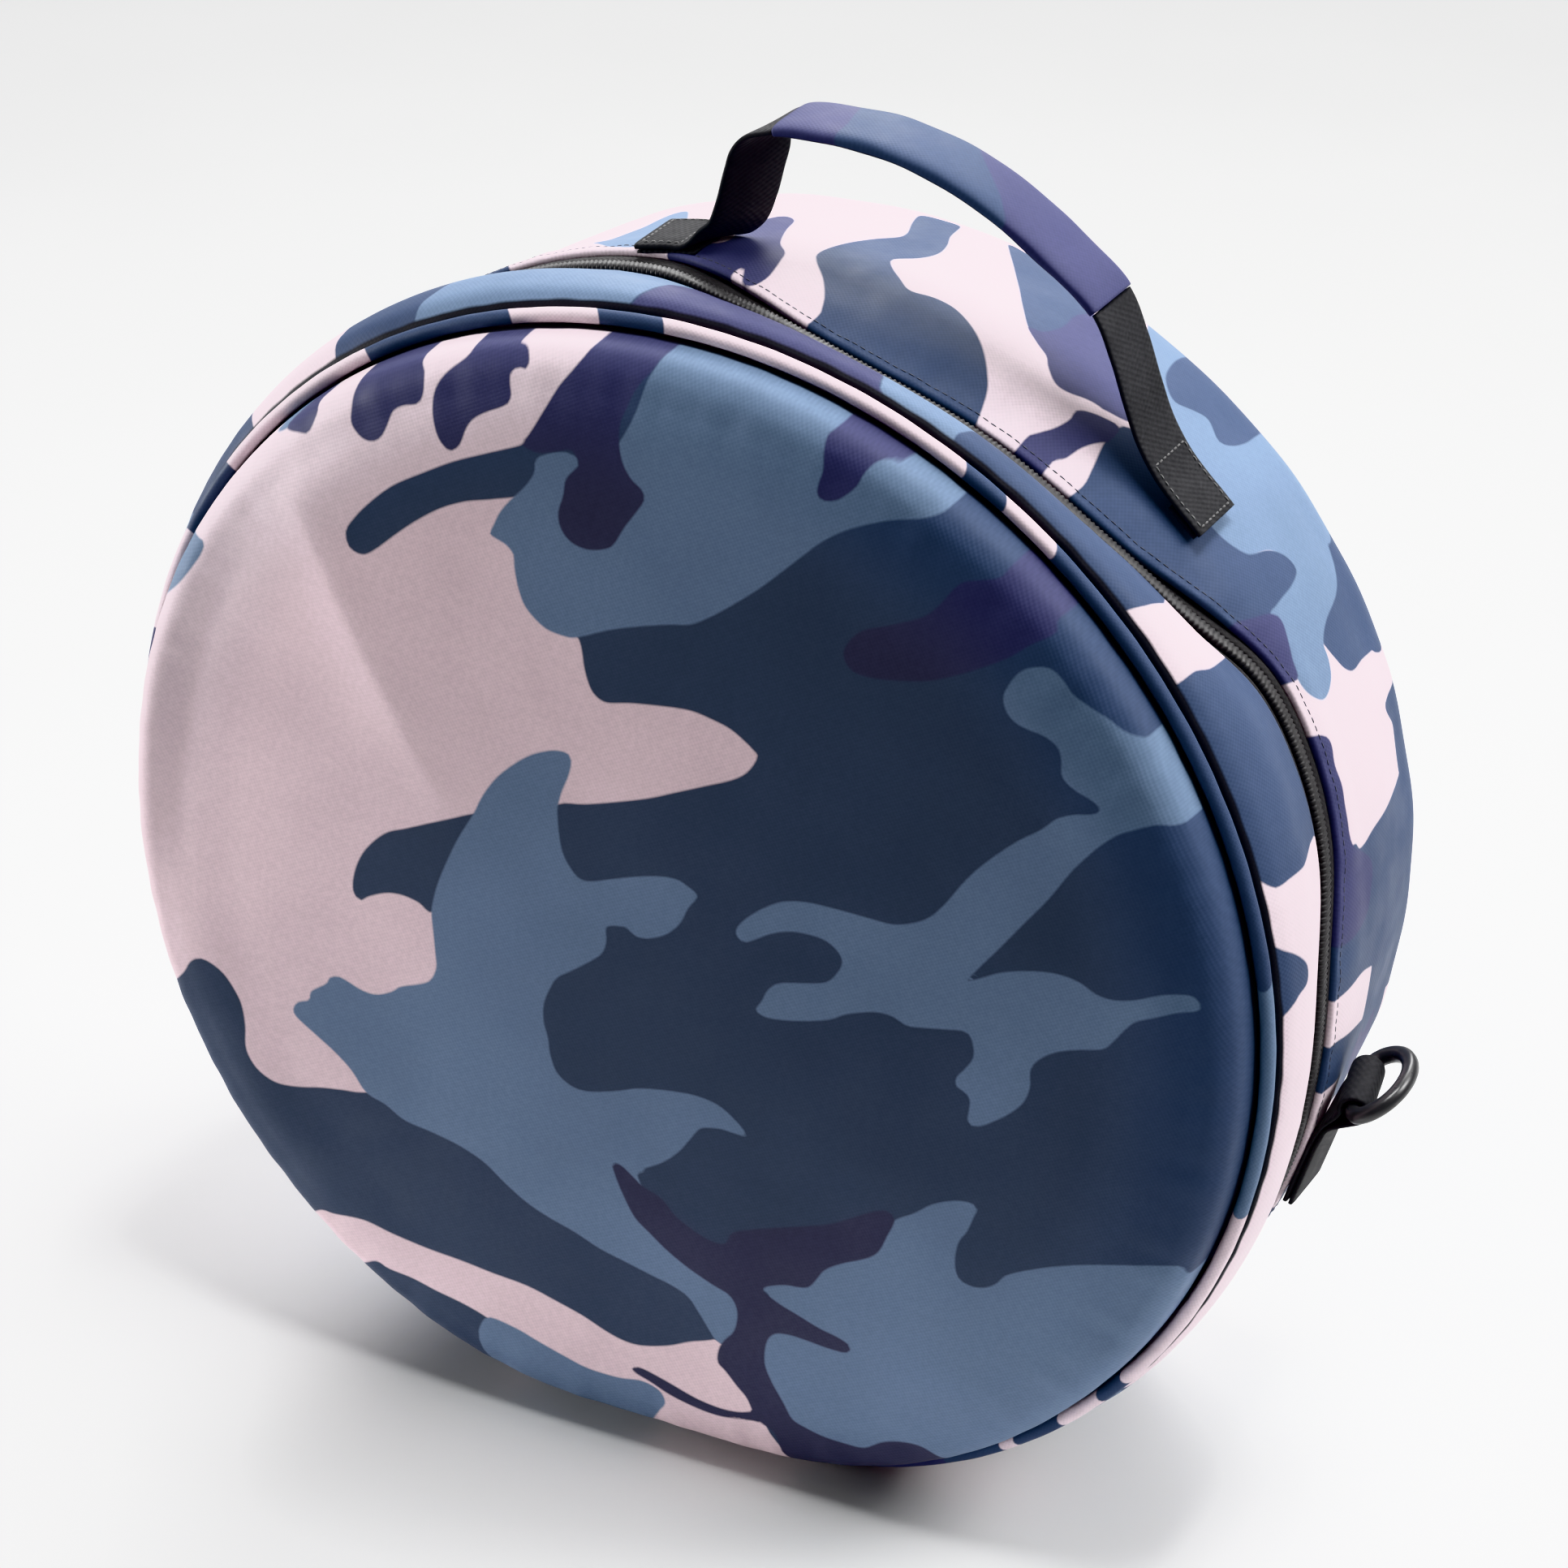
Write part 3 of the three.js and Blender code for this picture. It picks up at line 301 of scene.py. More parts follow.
# Outlines of the patches on the pale gusset: angle around the drum, depth.
GUSSET_PRINT = {
    "navy": {
        "top": [
            (-14.9, 59.9), (-14.3, 69.6), (-13, 80.2), (-11.7, 88.8), (-12.9, 99.9), (-13.2, 106.4),
            (-11.4, 108.3), (-9.4, 107.8), (-8.7, 98.2), (-7.7, 90.5), (-7.3, 83.1), (-8, 75.8),
            (-9.4, 69.4), (-8.7, 64.8), (-7, 60.2), (-5.3, 56.6), (-3.2, 58.3), (-1, 57.9),
            (1.4, 54.1), (3.5, 48.8), (5.6, 41.6), (6.9, 35.9), (8.7, 22.8), (9.2, 18.9),
            (-8.3, 23.7), (-9.7, 34.5), (-10.5, 40.2), (-12, 47), (-14, 54.1),
        ],
        "right": [
            (17.2, 48.4), (18.2, 38.5), (18.7, 34), (19, 22.1), (26.4, 25.7), (34.3, 31.7),
            (40.5, 39.4), (42.6, 44.2), (43.3, 51.1), (42.2, 51.8), (40.7, 52.6), (39.3, 54),
            (37.7, 55.1), (37.7, 58.6), (37.9, 67.7), (37.2, 76), (36.1, 77.4), (34.7, 75.2),
            (33.5, 68.7), (32.6, 61.4), (31.2, 59.7), (29, 56.9), (23.1, 55.1), (17.7, 57.5),
        ],
        "far": [
            (36.7, 101.4), (39.3, 98.2), (41.1, 88.2), (41.6, 81.5), (41.7, 75.1), (42.1, 71.3),
            (43.3, 71.9), (45.1, 74.9), (46.5, 78), (47.4, 82.8), (47.6, 91.4), (48.1, 101.9),
            (47.2, 101.7), (46.2, 103.1), (43.6, 102.7), (40.8, 102.2), (37.9, 102.5),
        ],
        "side": [
            (59.6, 52.7), (60.6, 57.1), (61, 62.4), (60.9, 69.9), (61, 80.3), (60.8, 90.7),
            (60.6, 98.9), (60, 105.1), (58.4, 104.4), (56.3, 101.4), (55.2, 103.9), (53, 98.7),
            (54.6, 100.1), (58.6, 99.7), (64, 97.7), (70.1, 94.8), (77.9, 100.7), (78.6, 87.4),
            (75.8, 76.4), (73.9, 65.5), (72.7, 54.2), (72, 34), (71, 32), (66, 34), (62, 38),
        ],
        "low": [
            (77.1, 40.3), (77.9, 48.8), (79.9, 63.5), (80.8, 74.4), (79.2, 78.7), (77.5, 80.3),
            (80, 91.5), (82, 100), (90, 100), (88, 80), (86.4, 72.3), (84, 58), (82.5, 45.6),
            (81.4, 34), (78, 32),
        ],
        "side_back": [
            (53, 97), (56, 101), (60, 104), (61, 93), (64, 94), (70, 90), (76, 90), (78.5, 80),
            (80.5, 78), (83, 90), (84, 120), (66, 122), (54, 120),
        ],
        "far_back": [
            (36.7, 100), (40, 101), (44, 101.5), (48, 100.5), (49, 110), (46, 120), (38, 120),
            (36, 110),
        ],
        "join": [
            (76.6, 82), (78, 79), (80.4, 78.6), (81, 86), (80.6, 94), (77.5, 93), (76.4, 87),
        ],
        "lobe": [
            (-4.3, 108.7), (-1.5, 96.3), (0.8, 86.2), (2.8, 76.5), (5.1, 67), (6.3, 68.5),
            (6.9, 77.6), (7.6, 92), (4.9, 100.2), (0.5, 108.1), (-2, 108.2),
        ],
    },
    "blue": {
        "back": [
            (13.9, 106.3), (17.8, 101.6), (23, 102), (29.6, 102.9), (36.8, 103.6), (40.6, 95.4),
            (41.7, 78.9), (42.9, 71.4), (44.4, 70.3), (45.7, 68.1), (46.5, 63.2), (46.4, 58.4),
            (45.4, 54.2), (43.9, 51.7), (42.2, 51.8), (40.7, 52.6), (39.3, 54), (37.7, 53.8),
            (37.6, 57.3), (37.5, 62.6), (37.4, 69.8), (37, 76), (36.1, 77.6), (34.7, 75.5),
            (33.3, 69.5), (32.7, 63.4), (32, 59.1), (29.5, 55.1), (26.1, 55.6), (21.6, 61.4),
            (17.7, 75.8), (14.7, 93.9),
        ],
        "left": [
            (-36.5, 53.1), (-36.8, 60.5), (-36.7, 68.8), (-36.2, 76), (-36.9, 90.7), (-35.8, 91.9),
            (-31.1, 69.5), (-30.3, 50.6), (-32, 46.8),
        ],
        "back_far": [
            (11, 114), (12.5, 100), (14, 90), (16, 85), (18, 87), (23, 99), (29.6, 101.5),
            (36.8, 102), (36.5, 112), (30, 120), (20, 120), (11, 120),
        ],
    },
    "purple": {
        "lobe": [
            (4.9, 67.6), (6.7, 63.2), (8.1, 60.7), (9, 57.1), (10.5, 53.3), (11.8, 53.5),
            (13.1, 55.6), (14.2, 56.7), (15.2, 57.2), (17.6, 62), (15.9, 78.3), (11.7, 89),
            (8.5, 97.8), (6.6, 89.7), (6.8, 78.3), (6.1, 69.3),
        ],
        "strip": [
            (12.9, 20.7), (12.2, 33.2), (12.7, 36.7), (13.4, 40.3), (13.8, 45.5), (13.6, 49.3),
            (14.4, 51.8), (15.8, 53.9), (17, 54.5), (17.2, 48.1), (16.7, 45.8), (16, 40.9),
            (15.7, 36.1), (15.1, 33.5), (15.5, 22), (14.5, 21.3),
        ],
        "foot": [
            (36.3, 41), (36.8, 46.2), (37.7, 53.8), (38.7, 56.2), (40.2, 54.3), (41.7, 52.4),
            (43.3, 51), (42.9, 47.2), (42.8, 44.5), (39.7, 41.8), (38.2, 39.7),
        ],
        "left": [
            (-26.8, 43.7), (-24.4, 50.4), (-23.2, 56.3), (-24.8, 71.4), (-24.2, 77.6), (-23.2, 82.8),
            (-21.5, 79.8), (-20.6, 71.4), (-19.1, 60.5), (-17.5, 54.7), (-16.9, 49.5), (-16.4, 42.8),
            (-16.4, 38.8), (-17, 35.5), (-17.8, 36.1), (-18.8, 41.9), (-19.4, 39.4), (-19.2, 32.6),
            (-19, 27.9), (-21.2, 30.4), (-24.1, 36.5), (-26.3, 41.1),
        ],
        "side": [
            (48.6, 48.8), (49.7, 53.9), (51.9, 53.3), (54.2, 53.4), (56.6, 52.6), (59.6, 52.7),
            (61, 58.1), (63.4, 65.8), (65.7, 64.1), (67.6, 58.7), (67, 40), (64, 36), (61, 38),
            (57, 40), (53, 40), (48.4, 40),
        ],
    },
    "navy over blue": {
        "wedge": [
            (16.6, 88), (18.4, 83), (20, 87), (21.6, 90.5), (23.7, 86), (25, 92), (25.6, 104),
            (25, 118), (17, 118), (15.6, 106), (15.8, 95),
        ],
    },
}

# Colour changes around the piping: angle at which a stretch ends, and its colour.
PIPING_PRINT = [
    (-160, "navy"), (-148, "pink"), (-131, "blue"), (-118, "pink"), (-104, "navy"),
    (-92, "purple"), (-80, "pink"), (-71, "navy"), (-50, "pink"), (-33.8, "navy"),
    (-24.8, "pink"), (-18.5, "navy"), (11.1, "pink"), (15.4, "navy"), (21.1, "pink"),
    (63.3, "navy"), (86.6, "blue"), (109.9, "pink"),
    (113.4, "navy"), (118.9, "pink"), (124.6, "navy"), (126.4, "pink"), (133, "navy"),
    (144, "purple"), (158, "pink"), (171, "blue"), (180, "navy"),
]
# Patches along the navy front band: angle, depth.
BAND_PRINT = {
    "pink": {
        "patch": [(29, 0), (29.5, 8.5), (30.6, 20), (31, 40), (37.3, 40), (37, 18), (36.1, 9.5), (35.4, 0)],
        "lower": [(54.6, 0), (55.6, 6.8), (55.8, 13.7), (56.1, 21.4), (56.8, 40), (70, 44), (95, 44),
                  (110, 44), (112, 12), (110.5, 0), (90, -4), (68, -4)],
        "left": [(-66, 0), (-67, 20), (-65, 46), (-58, 46), (-55, 30), (-54.6, 6), (-55.5, 0)],
        "far": [(-108, 0), (-112, 18), (-106, 44), (-93, 44), (-90, 24), (-95, 10), (-94, 0)],
        "under": [(128, 0), (126, 16), (131, 44), (146, 44), (150, 20), (144, 0)],
        "away": [(-152, 0), (-150, 24), (-156, 44), (-140, 44), (-136, 18), (-139, 0)],
    },
    "navy": {
        "spot": [(59.3, -2), (61.1, 5.6), (62.6, 11.3), (64.1, 14.9), (65.5, 14.2), (65.9, 9.7), (66.4, 6.3), (67.3, -2)],
        "low": [(100, 22), (104, 30), (101, 44), (92, 44), (94, 30)],
    },
    "blue": {
        "top": [(-43.4, 0), (-43, 20), (-45, 46), (-18, 46), (-20.6, 16), (-21.1, 12.6), (-22.4, 3.3), (-22.8, 0)],
        "upper": [(1.6, 0), (1.3, 5), (0.7, 10), (-0.2, 24), (9.4, 24), (9.2, 11.4), (8.8, 6), (8.4, 0)],
        "far": [(-92, 0), (-88, 20), (-92, 44), (-78, 44), (-74, 22), (-80, 8), (-79, 0)],
        "under": [(113, 0), (116, 22), (112, 44), (124, 44), (127, 20), (122, 0)],
    },
    "purple": {
        "top": [(-23, 0), (-22.2, 3.3), (-20.9, 12.6), (-19, 30), (-2, 30), (0.5, 10), (1.1, 5), (1.4, 0)],
        "far": [(-128, 0), (-124, 22), (-128, 44), (-116, 44), (-112, 20), (-117, 0)],
    },
}
# Patches along the grip: distance from its left end, place across.
GRIP_PRINT = {
    "navy": {
        "long": [(19, -14), (17, -4), (15, 6), (14, 16), (40, 16), (47, 7), (54, 0), (60, -6), (64, -14), (40, -20)],
    },
}
CREASE = [(-131, 73), (-63, 8)]

# Linear colours of the print on the gusset, band, handle and the front's rim, in a lit copy with painted light: navy
# and purple bluer
PALETTE = {
    "navy": (0.054, 0.075, 0.134),
    "pink": (0.725, 0.607, 0.657),
    "blue": (0.138, 0.194, 0.290),
    "purple": (0.060, 0.062, 0.130),
    # seam: dark colour of the painted shade in the grooves by the piping and under the grip
    "seam": (0.016, 0.016, 0.020),
}
# Shaded copy for the middle of the front: painted shade, with darker pink and greyer navy and purple
SHADED_FRONT_PALETTE = {
    "navy": (0.058, 0.073, 0.112),
    "pink": (0.665, 0.520, 0.562),
    "blue": (0.140, 0.190, 0.284),
    "purple": (0.056, 0.056, 0.091),
    "seam": (0.016, 0.016, 0.020),
}


# ---------- shape ----------
def wrap(angle):
    return (np.asarray(angle, float) + 180) % 360 - 180


def ramp(x, a, b):
    t = np.clip((np.asarray(x, float) - a) / (b - a), 0, 1)
    return t * t * (3 - 2 * t)


def cubic(x, xs, ys, around=None):
    """Smooth curve through a table; around is the period of one that closes."""
    xs, ys = np.asarray(xs, float), np.asarray(ys, float)
    if around:
        xs = np.concatenate([xs[-3:-1] - around, xs, xs[1:3] + around])
        ys = np.concatenate([ys[-3:-1], ys, ys[1:3]])
    h = np.diff(xs)
    d = np.diff(ys) / h
    m = np.empty_like(ys)
    m[1:-1] = (d[:-1] * h[1:] + d[1:] * h[:-1]) / (h[1:] + h[:-1])
    m[0], m[-1] = d[0], d[-1]
    i = np.clip(np.searchsorted(xs, x, side="right") - 1, 0, len(h) - 1)
    t = (x - xs[i]) / h[i]
    return (
        (2 * t**3 - 3 * t**2 + 1) * ys[i]
        + (t**3 - 2 * t**2 + t) * h[i] * m[i]
        + (3 * t**2 - 2 * t**3) * ys[i + 1]
        + (t**3 - t**2) * h[i] * m[i + 1]
    )


def course(column, angle):
    return cubic(wrap(angle), ZIP_COURSE[:, 0], ZIP_COURSE[:, COLUMN[column]], around=360)


def open_part(angle):
    """Where the zip shows wide, up on the left."""
    a = wrap(angle)
    return ramp(a, -75, -58) * (1 - ramp(a, -27, -16))


def shut_part(angle):
    """Where the cloth edges close over the zip, under the handle."""
    a = wrap(angle)
    return ramp(a, -21, -8) * (1 - ramp(a, 25, 36))


def flush_part(angle):
    """Where the zip is level with the cloth, down the right side."""
    a = wrap(angle)
    return ramp(a, 31, 40) * (1 - ramp(a, 118, 130))


def sink(angle):
    d = np.abs(wrap(np.asarray(angle, float) - CONTACT))
    a = FLAT_HALF * DEG
    h = SHOULDER * DEG - a
    t = np.clip((d * DEG - a) / h, 0, 1)
    start = AXIS_HEIGHT / math.cos(a)
    slope = h * AXIS_HEIGHT * math.sin(a) / math.cos(a) ** 2
    r = (2 * t**3 - 3 * t**2 + 1) * start + (t**3 - 2 * t**2 + t) * slope + (3 * t**2 - 2 * t**3) * FLAT_R
    flat = AXIS_HEIGHT / np.cos(np.minimum(d, FLAT_HALF) * DEG)
    return np.where(d >= SHOULDER, 0, FLAT_R - np.where(d <= FLAT_HALF, flat, r))


DOWN_X, DOWN_Z = math.sin(CONTACT * DEG), math.cos(CONTACT * DEG)


def place(angle, radius, depth, lift=0.05):
    """Points of the drum, kept lift over the floor."""
    angle, radius, depth = np.broadcast_arrays(*[np.asarray(v, float) for v in (angle, radius, depth)])
    r = radius - sink(angle) * (radius / FLAT_R) ** 3
    x, z = r * np.sin(angle * DEG), r * np.cos(angle * DEG)
    under = np.maximum(x * DOWN_X + z * DOWN_Z - (AXIS_HEIGHT - lift), 0)
    return np.stack([x - under * DOWN_X, depth, z - under * DOWN_Z], -1)


def world(p):
    """Bag frame in millimetres to the scene in metres."""
    p = np.asarray(p, float)
    c, s = math.cos(LEAN * DEG), math.sin(LEAN * DEG)
    return np.stack([
        p[..., 0] * c + p[..., 2] * s,
        p[..., 1] + RING_Y,
        -p[..., 0] * s + p[..., 2] * c + AXIS_HEIGHT,
    ], -1) / 1000


# ---------- meshes ----------
def grid_faces(rows, cols, loop_rows=False, loop_cols=False, start=0):
    i = np.arange(rows if loop_rows else rows - 1)
    j = np.arange(cols if loop_cols else cols - 1)
    i, j = np.meshgrid(i, j, indexing="ij")
    ii, jj = (i + 1) % rows, (j + 1) % cols
    quads = np.stack([i * cols + j, ii * cols + j, ii * cols + jj, i * cols + jj], -1)
    return quads.reshape(-1, 4) + start


def make(name, verts, faces, material, body="bag", nodes=(), uv=None, layers=None, smooth=True):
    """A piece from points in the bag's frame. uv: a place on the cloth for each point, in
    millimetres. layers: for each point, the print's signed distances and the masks of painted shade."""
    mesh = bpy.data.meshes.new(name)
    pts = world(verts)
    faces = [np.asarray(f) for f in faces] if isinstance(faces, list) else [np.asarray(faces)]
    loops = np.concatenate([f.reshape(-1) for f in faces]).astype(np.int32)
    sizes = np.concatenate([np.full(len(f), f.shape[1]) for f in faces]).astype(np.int32)
    mesh.vertices.add(len(pts))
    mesh.vertices.foreach_set("co", pts.astype(np.float32).ravel())
    mesh.loops.add(len(loops))
    mesh.loops.foreach_set("vertex_index", loops)
    mesh.polygons.add(len(sizes))
    mesh.polygons.foreach_set("loop_start", (np.cumsum(sizes) - sizes).astype(np.int32))
    mesh.polygons.foreach_set("loop_total", sizes)
    mesh.update(calc_edges=True)
    mesh.validate()
    if uv is not None:
        at = np.asarray(uv, float)[loops]
        # faces across the closing line of a loop are unrolled past its end
        first = np.repeat(np.cumsum(sizes) - sizes, sizes)
        span = at[:, 0].max() - at[:, 0].min()
        at[:, 0] += np.where(at[first][:, 0] - at[:, 0] > span / 2, span, 0)
        at[:, 0] -= np.where(at[:, 0] - at[first][:, 0] > span / 2, span, 0)
        layer = mesh.uv_layers.new(name="cloth")
        layer.uv.foreach_set("vector", (at / 1000).astype(np.float32).ravel())
    # No painted groove shade unless a piece gives it
    if layers and "seam" not in layers:
        layers = {**layers, "seam": np.full(len(pts), -FAR)}
    for key, values in (layers or {}).items():
        attribute = mesh.attributes.new(key, "FLOAT", "POINT")
        attribute.data.foreach_set("value", np.asarray(values, np.float32).ravel())
    mesh.polygons.foreach_set("use_smooth", np.full(len(sizes), smooth))
    obj = bpy.data.objects.new(name, mesh)
    bpy.context.scene.collection.objects.link(obj)
    # all faces outwards
    v = pts[loops]
    tri_first = np.cumsum(sizes) - sizes
    a, b, c = v[tri_first], v[tri_first + 1], v[tri_first + 2]
    volume = np.einsum("ij,ij->i", a, np.cross(b, c)).sum()
    if sizes.max() == 4:
        quad = sizes == 4
        d = v[tri_first[quad] + 3]
        volume += np.einsum("ij,ij->i", a[quad], np.cross(c[quad], d)).sum()
    if volume < 0:
        mesh.flip_normals()
    mesh.materials.append(material)
    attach(obj, body)
    if nodes:
        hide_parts(*nodes)
    return obj


# ---------- print ----------
def rounded(points, steps=4):
    """Closed smooth line through the points."""
    p = np.asarray(points, float)
    a, b, c, d = np.roll(p, 1, 0), p, np.roll(p, -1, 0), np.roll(p, -2, 0)
    out = []
    for t in np.arange(steps) / steps:
        out.append(0.5 * (2 * b + (c - a) * t + (2 * a - 5 * b + 4 * c - d) * t**2 + (3 * b - a - 3 * c + d) * t**3))
    return np.stack(out, 1).reshape(-1, 2)


FAR = 4.0  # distances are kept within this


def inside(at, outline):
    """Signed distance from the points to a closed line, positive inside."""
    line = rounded(outline)
    result = np.full(len(at), -FAR)
    lo, hi = line.min(0) - FAR, line.max(0) + FAR
    near = np.nonzero(((at > lo) & (at < hi)).all(1))[0]
    p, q = line, np.roll(line, -1, 0)
    e = q - p
    length = np.maximum((e**2).sum(1), 1e-9)
    for part in np.array_split(near, max(1, len(near) * len(p) // 4000000 + 1)):
        g = at[part][:, None, :] - p[None]
        t = np.clip((g * e).sum(2) / length, 0, 1)
        d = np.sqrt(((g - t[..., None] * e) ** 2).sum(2).min(1))
        y = at[part][:, 1:2]
        cut = (p[:, 1] > y) != (q[:, 1] > y)
        x = p[:, 0] + (y - p[:, 1]) * e[:, 0] / np.where(e[:, 1] == 0, 1e-9, e[:, 1])
        odd = (cut & (at[part][:, 0:1] < x)).sum(1) % 2 == 1
        result[part] = np.minimum(np.where(odd, d, -d), FAR)
    return result


def printed(at, chart, scale=(1, 1), ground="navy"):
    """Signed distances of each colour of a chart at the points."""
    at = np.asarray(at, float) * scale
    layers = {}
    for colour in ("pink", "navy", "blue", "purple"):
        best = np.full(len(at), FAR if colour == ground == "pink" else -FAR)
        for outline in chart.get(colour, {}).values():
            best = np.maximum(best, inside(at, np.asarray(outline, float) * scale))
        layers[colour] = best
    return layers


def patch(middle, size, stretch, turn, lobes):
    """Outline of a plain camouflage patch: an uneven round of the given size."""
    a = np.linspace(0, 2 * math.pi, 18, endpoint=False)
    r = np.ones_like(a)
    for k, (amount, phase) in enumerate(lobes):
        r += amount * np.cos((k + 2) * a + phase)
    x, y = size * stretch * r * np.cos(a), size * r * np.sin(a)
    c, s = math.cos(turn), math.sin(turn)
    return np.stack([middle[0] + x * c - y * s, middle[1] + x * s + y * c], -1)


def scattered(span, colours, seed):
    """Patches over a stretch of cloth that the charts don't cover: lo, hi of both places."""
    pick = np.random.default_rng(seed)
    (x0, x1), (y0, y1) = span
    chart = {}
    for colour, count, size in colours:
        chart[colour] = {}
        for k in range(count):
            middle = (x0 + (x1 - x0) * (k + pick.uniform(0.15, 0.85)) / count, pick.uniform(y0, y1))
            lobes = [(pick.uniform(0.1, 0.3), pick.uniform(0, 6.28)) for _ in range(4)]
            chart[colour][str(k)] = patch(middle, size * pick.uniform(0.7, 1.25), pick.uniform(1.2, 2.2), pick.uniform(-0.7, 0.7), lobes)
    return chart


# ---------- materials ----------
def start(name, roughness, specular=0.5, sheen=0.0, sheen_roughness=0.5):
    m = bpy.data.materials.new(name)
    m.use_nodes = True
    t = m.node_tree
    t.nodes.clear()
    out = t.nodes.new("ShaderNodeOutputMaterial")
    shader = t.nodes.new("ShaderNodeBsdfPrincipled")
    shader.inputs["Roughness"].default_value = roughness
    shader.inputs["Specular IOR Level"].default_value = specular
    shader.inputs["Sheen Weight"].default_value = sheen
    shader.inputs["Sheen Roughness"].default_value = sheen_roughness
    t.links.new(shader.outputs["BSDF"], out.inputs["Surface"])
    return m, t, shader


def noise(t, scale, detail=2.0):
    where = t.nodes.new("ShaderNodeTexCoord")
    n = t.nodes.new("ShaderNodeTexNoise")
    n.inputs["Scale"].default_value = scale
    n.inputs["Detail"].default_value = detail
    t.links.new(where.outputs["Object"], n.inputs["Vector"])
    return n.outputs["Fac"]


def scaled(t, value, low, high, new_low, new_high):
    r = t.nodes.new("ShaderNodeMapRange")
    r.inputs["From Min"].default_value = low
    r.inputs["From Max"].default_value = high
    r.inputs["To Min"].default_value = new_low
    r.inputs["To Max"].default_value = new_high
    t.links.new(value, r.inputs["Value"])
    return r.outputs["Result"]


def mixed(t, factor, a, b, how="MIX"):
    n = t.nodes.new("ShaderNodeMix")
    n.data_type = "RGBA"
    n.blend_type = how
    for socket, value in ((n.inputs[0], factor), (n.inputs[6], a), (n.inputs[7], b)):
        if isinstance(value, bpy.types.NodeSocket):
            t.links.new(value, socket)
        elif isinstance(value, (int, float)):
            socket.default_value = value
        else:
            socket.default_value = (*value, 1)
    return n.outputs[2]


def shaded(t, colour, low, high, scale, detail=2.0):
    """The colour, a little lighter and darker from place to place."""
    return mixed(t, 1.0, colour, scaled(t, noise(t, scale, detail), 0.3, 0.7, low, high), "MULTIPLY")


def bands(t, pitch, direction):
    uv = t.nodes.new("ShaderNodeUVMap")
    uv.uv_map = "cloth"
    w = t.nodes.new("ShaderNodeTexWave")
    w.wave_type = "BANDS"
    w.bands_direction = direction
    w.inputs["Scale"].default_value = 2 * math.pi / (20 * pitch / 1000)
    w.inputs["Distortion"].default_value = 0.0
    t.links.new(uv.outputs["UV"], w.inputs["Vector"])
    return w.outputs["Fac"]


def product(t, a, b):
    n = t.nodes.new("ShaderNodeMath")
    n.operation = "MULTIPLY"
    t.links.new(a, n.inputs[0])
    t.links.new(b, n.inputs[1])
    return n.outputs[0]


def bumped(t, shader, height, depth, strength=1.0):
    b = t.nodes.new("ShaderNodeBump")
    b.inputs["Distance"].default_value = depth / 1000
    b.inputs["Strength"].default_value = strength
    t.links.new(height, b.inputs["Height"])
    t.links.new(b.outputs["Normal"], shader.inputs["Normal"])


def weave(t, across, along):
    """Height of a plain weave: threads that pass over and under each other."""
    sides = []
    for pitch, direction in ((2 * across, "X"), (2 * along, "Y")):
        n = t.nodes.new("ShaderNodeMath")
        n.operation = "MULTIPLY_ADD"
        t.links.new(bands(t, pitch, direction), n.inputs[0])
        n.inputs[1].default_value, n.inputs[2].default_value = 2.0, -1.0
        sides.append(n.outputs[0])
    return scaled(t, product(t, *sides), -1, 1, 0, 1)


def matted(t, shader, roughness, spread, scale):
    """Roughness that varies from place to place."""
    t.links.new(scaled(t, noise(t, scale), 0.3, 0.7, roughness - spread, roughness + spread), shader.inputs["Roughness"])


def print_material():
    m, t, shader = start("printed_cloth", 0.6, 0.11, 0.02, 0.4)
    front = t.nodes.new("ShaderNodeAttribute")
    front.attribute_name = "front"
    # Each colour mixes from the lit palette to its shaded copy where the front attribute lies: painted shade on the
    # front panel
    tone = lambda key: mixed(t, front.outputs["Fac"], PALETTE[key], SHADED_FRONT_PALETTE[key])
    colour = tone("navy")
    for key in ("pink", "navy", "blue", "purple", "seam"):
        a = t.nodes.new("ShaderNodeAttribute")
        a.attribute_name = key
        edge = scaled(t, a.outputs["Fac"], -0.3, 0.3, 0, 1)
        colour = mixed(t, edge, colour, tone(key))
    colour = shaded(t, colour, 0.94, 1.06, 24)
    colour = shaded(t, colour, 0.96, 1.04, 700, 1)
    threads = weave(t, 0.62, 0.62)
    colour = mixed(t, 1.0, colour, scaled(t, threads, 0, 1, 0.94, 1.05), "MULTIPLY")
    t.links.new(colour, shader.inputs["Base Color"])
    matted(t, shader, 0.6, 0.07, 90)
    bumped(t, shader, threads, 0.055, 0.5)
    return m


def black_material(name, tone, roughness, pitch_u, pitch_v, depth, specular=0.35, sheen=0.05):
    m, t, shader = start(name, roughness, specular, sheen, 0.5)
    colour = shaded(t, tone, 0.8, 1.2, 60)
    colour = shaded(t, colour, 0.85, 1.15, 900, 1)
    t.links.new(colour, shader.inputs["Base Color"])
    matted(t, shader, roughness, 0.06, 200)
    bumped(t, shader, weave(t, pitch_u, pitch_v), depth, 0.6)
    return m


def plastic_material(name, tone, roughness):
    m, t, shader = start(name, roughness, 0.5)
    t.links.new(shaded(t, tone, 0.85, 1.15, 120), shader.inputs["Base Color"])
    matted(t, shader, roughness, 0.06, 350)
    bumped(t, shader, noise(t, 1500, 1), 0.02, 0.4)
    return m


PRINT = print_material()
WEBBING = black_material("black_webbing", (0.022, 0.022, 0.024), 0.75, 0.8, 1.3, 0.2, 0.18, 0.02)
TAPE = black_material("zip_tape", (0.026, 0.025, 0.026), 0.75, 0.9, 0.9, 0.2, 0.2, 0.02)
COIL = plastic_material("zip_coil", (0.026, 0.025, 0.026), 0.55)
PLASTIC = plastic_material("black_plastic", (0.032, 0.032, 0.034), 0.32)
THREAD = black_material("dark_thread", (0.055, 0.058, 0.075), 0.7, 0.5, 0.5, 0.05)
GREY_THREAD = black_material("grey_thread", (0.10, 0.10, 0.10), 0.6, 0.5, 0.5, 0.05)


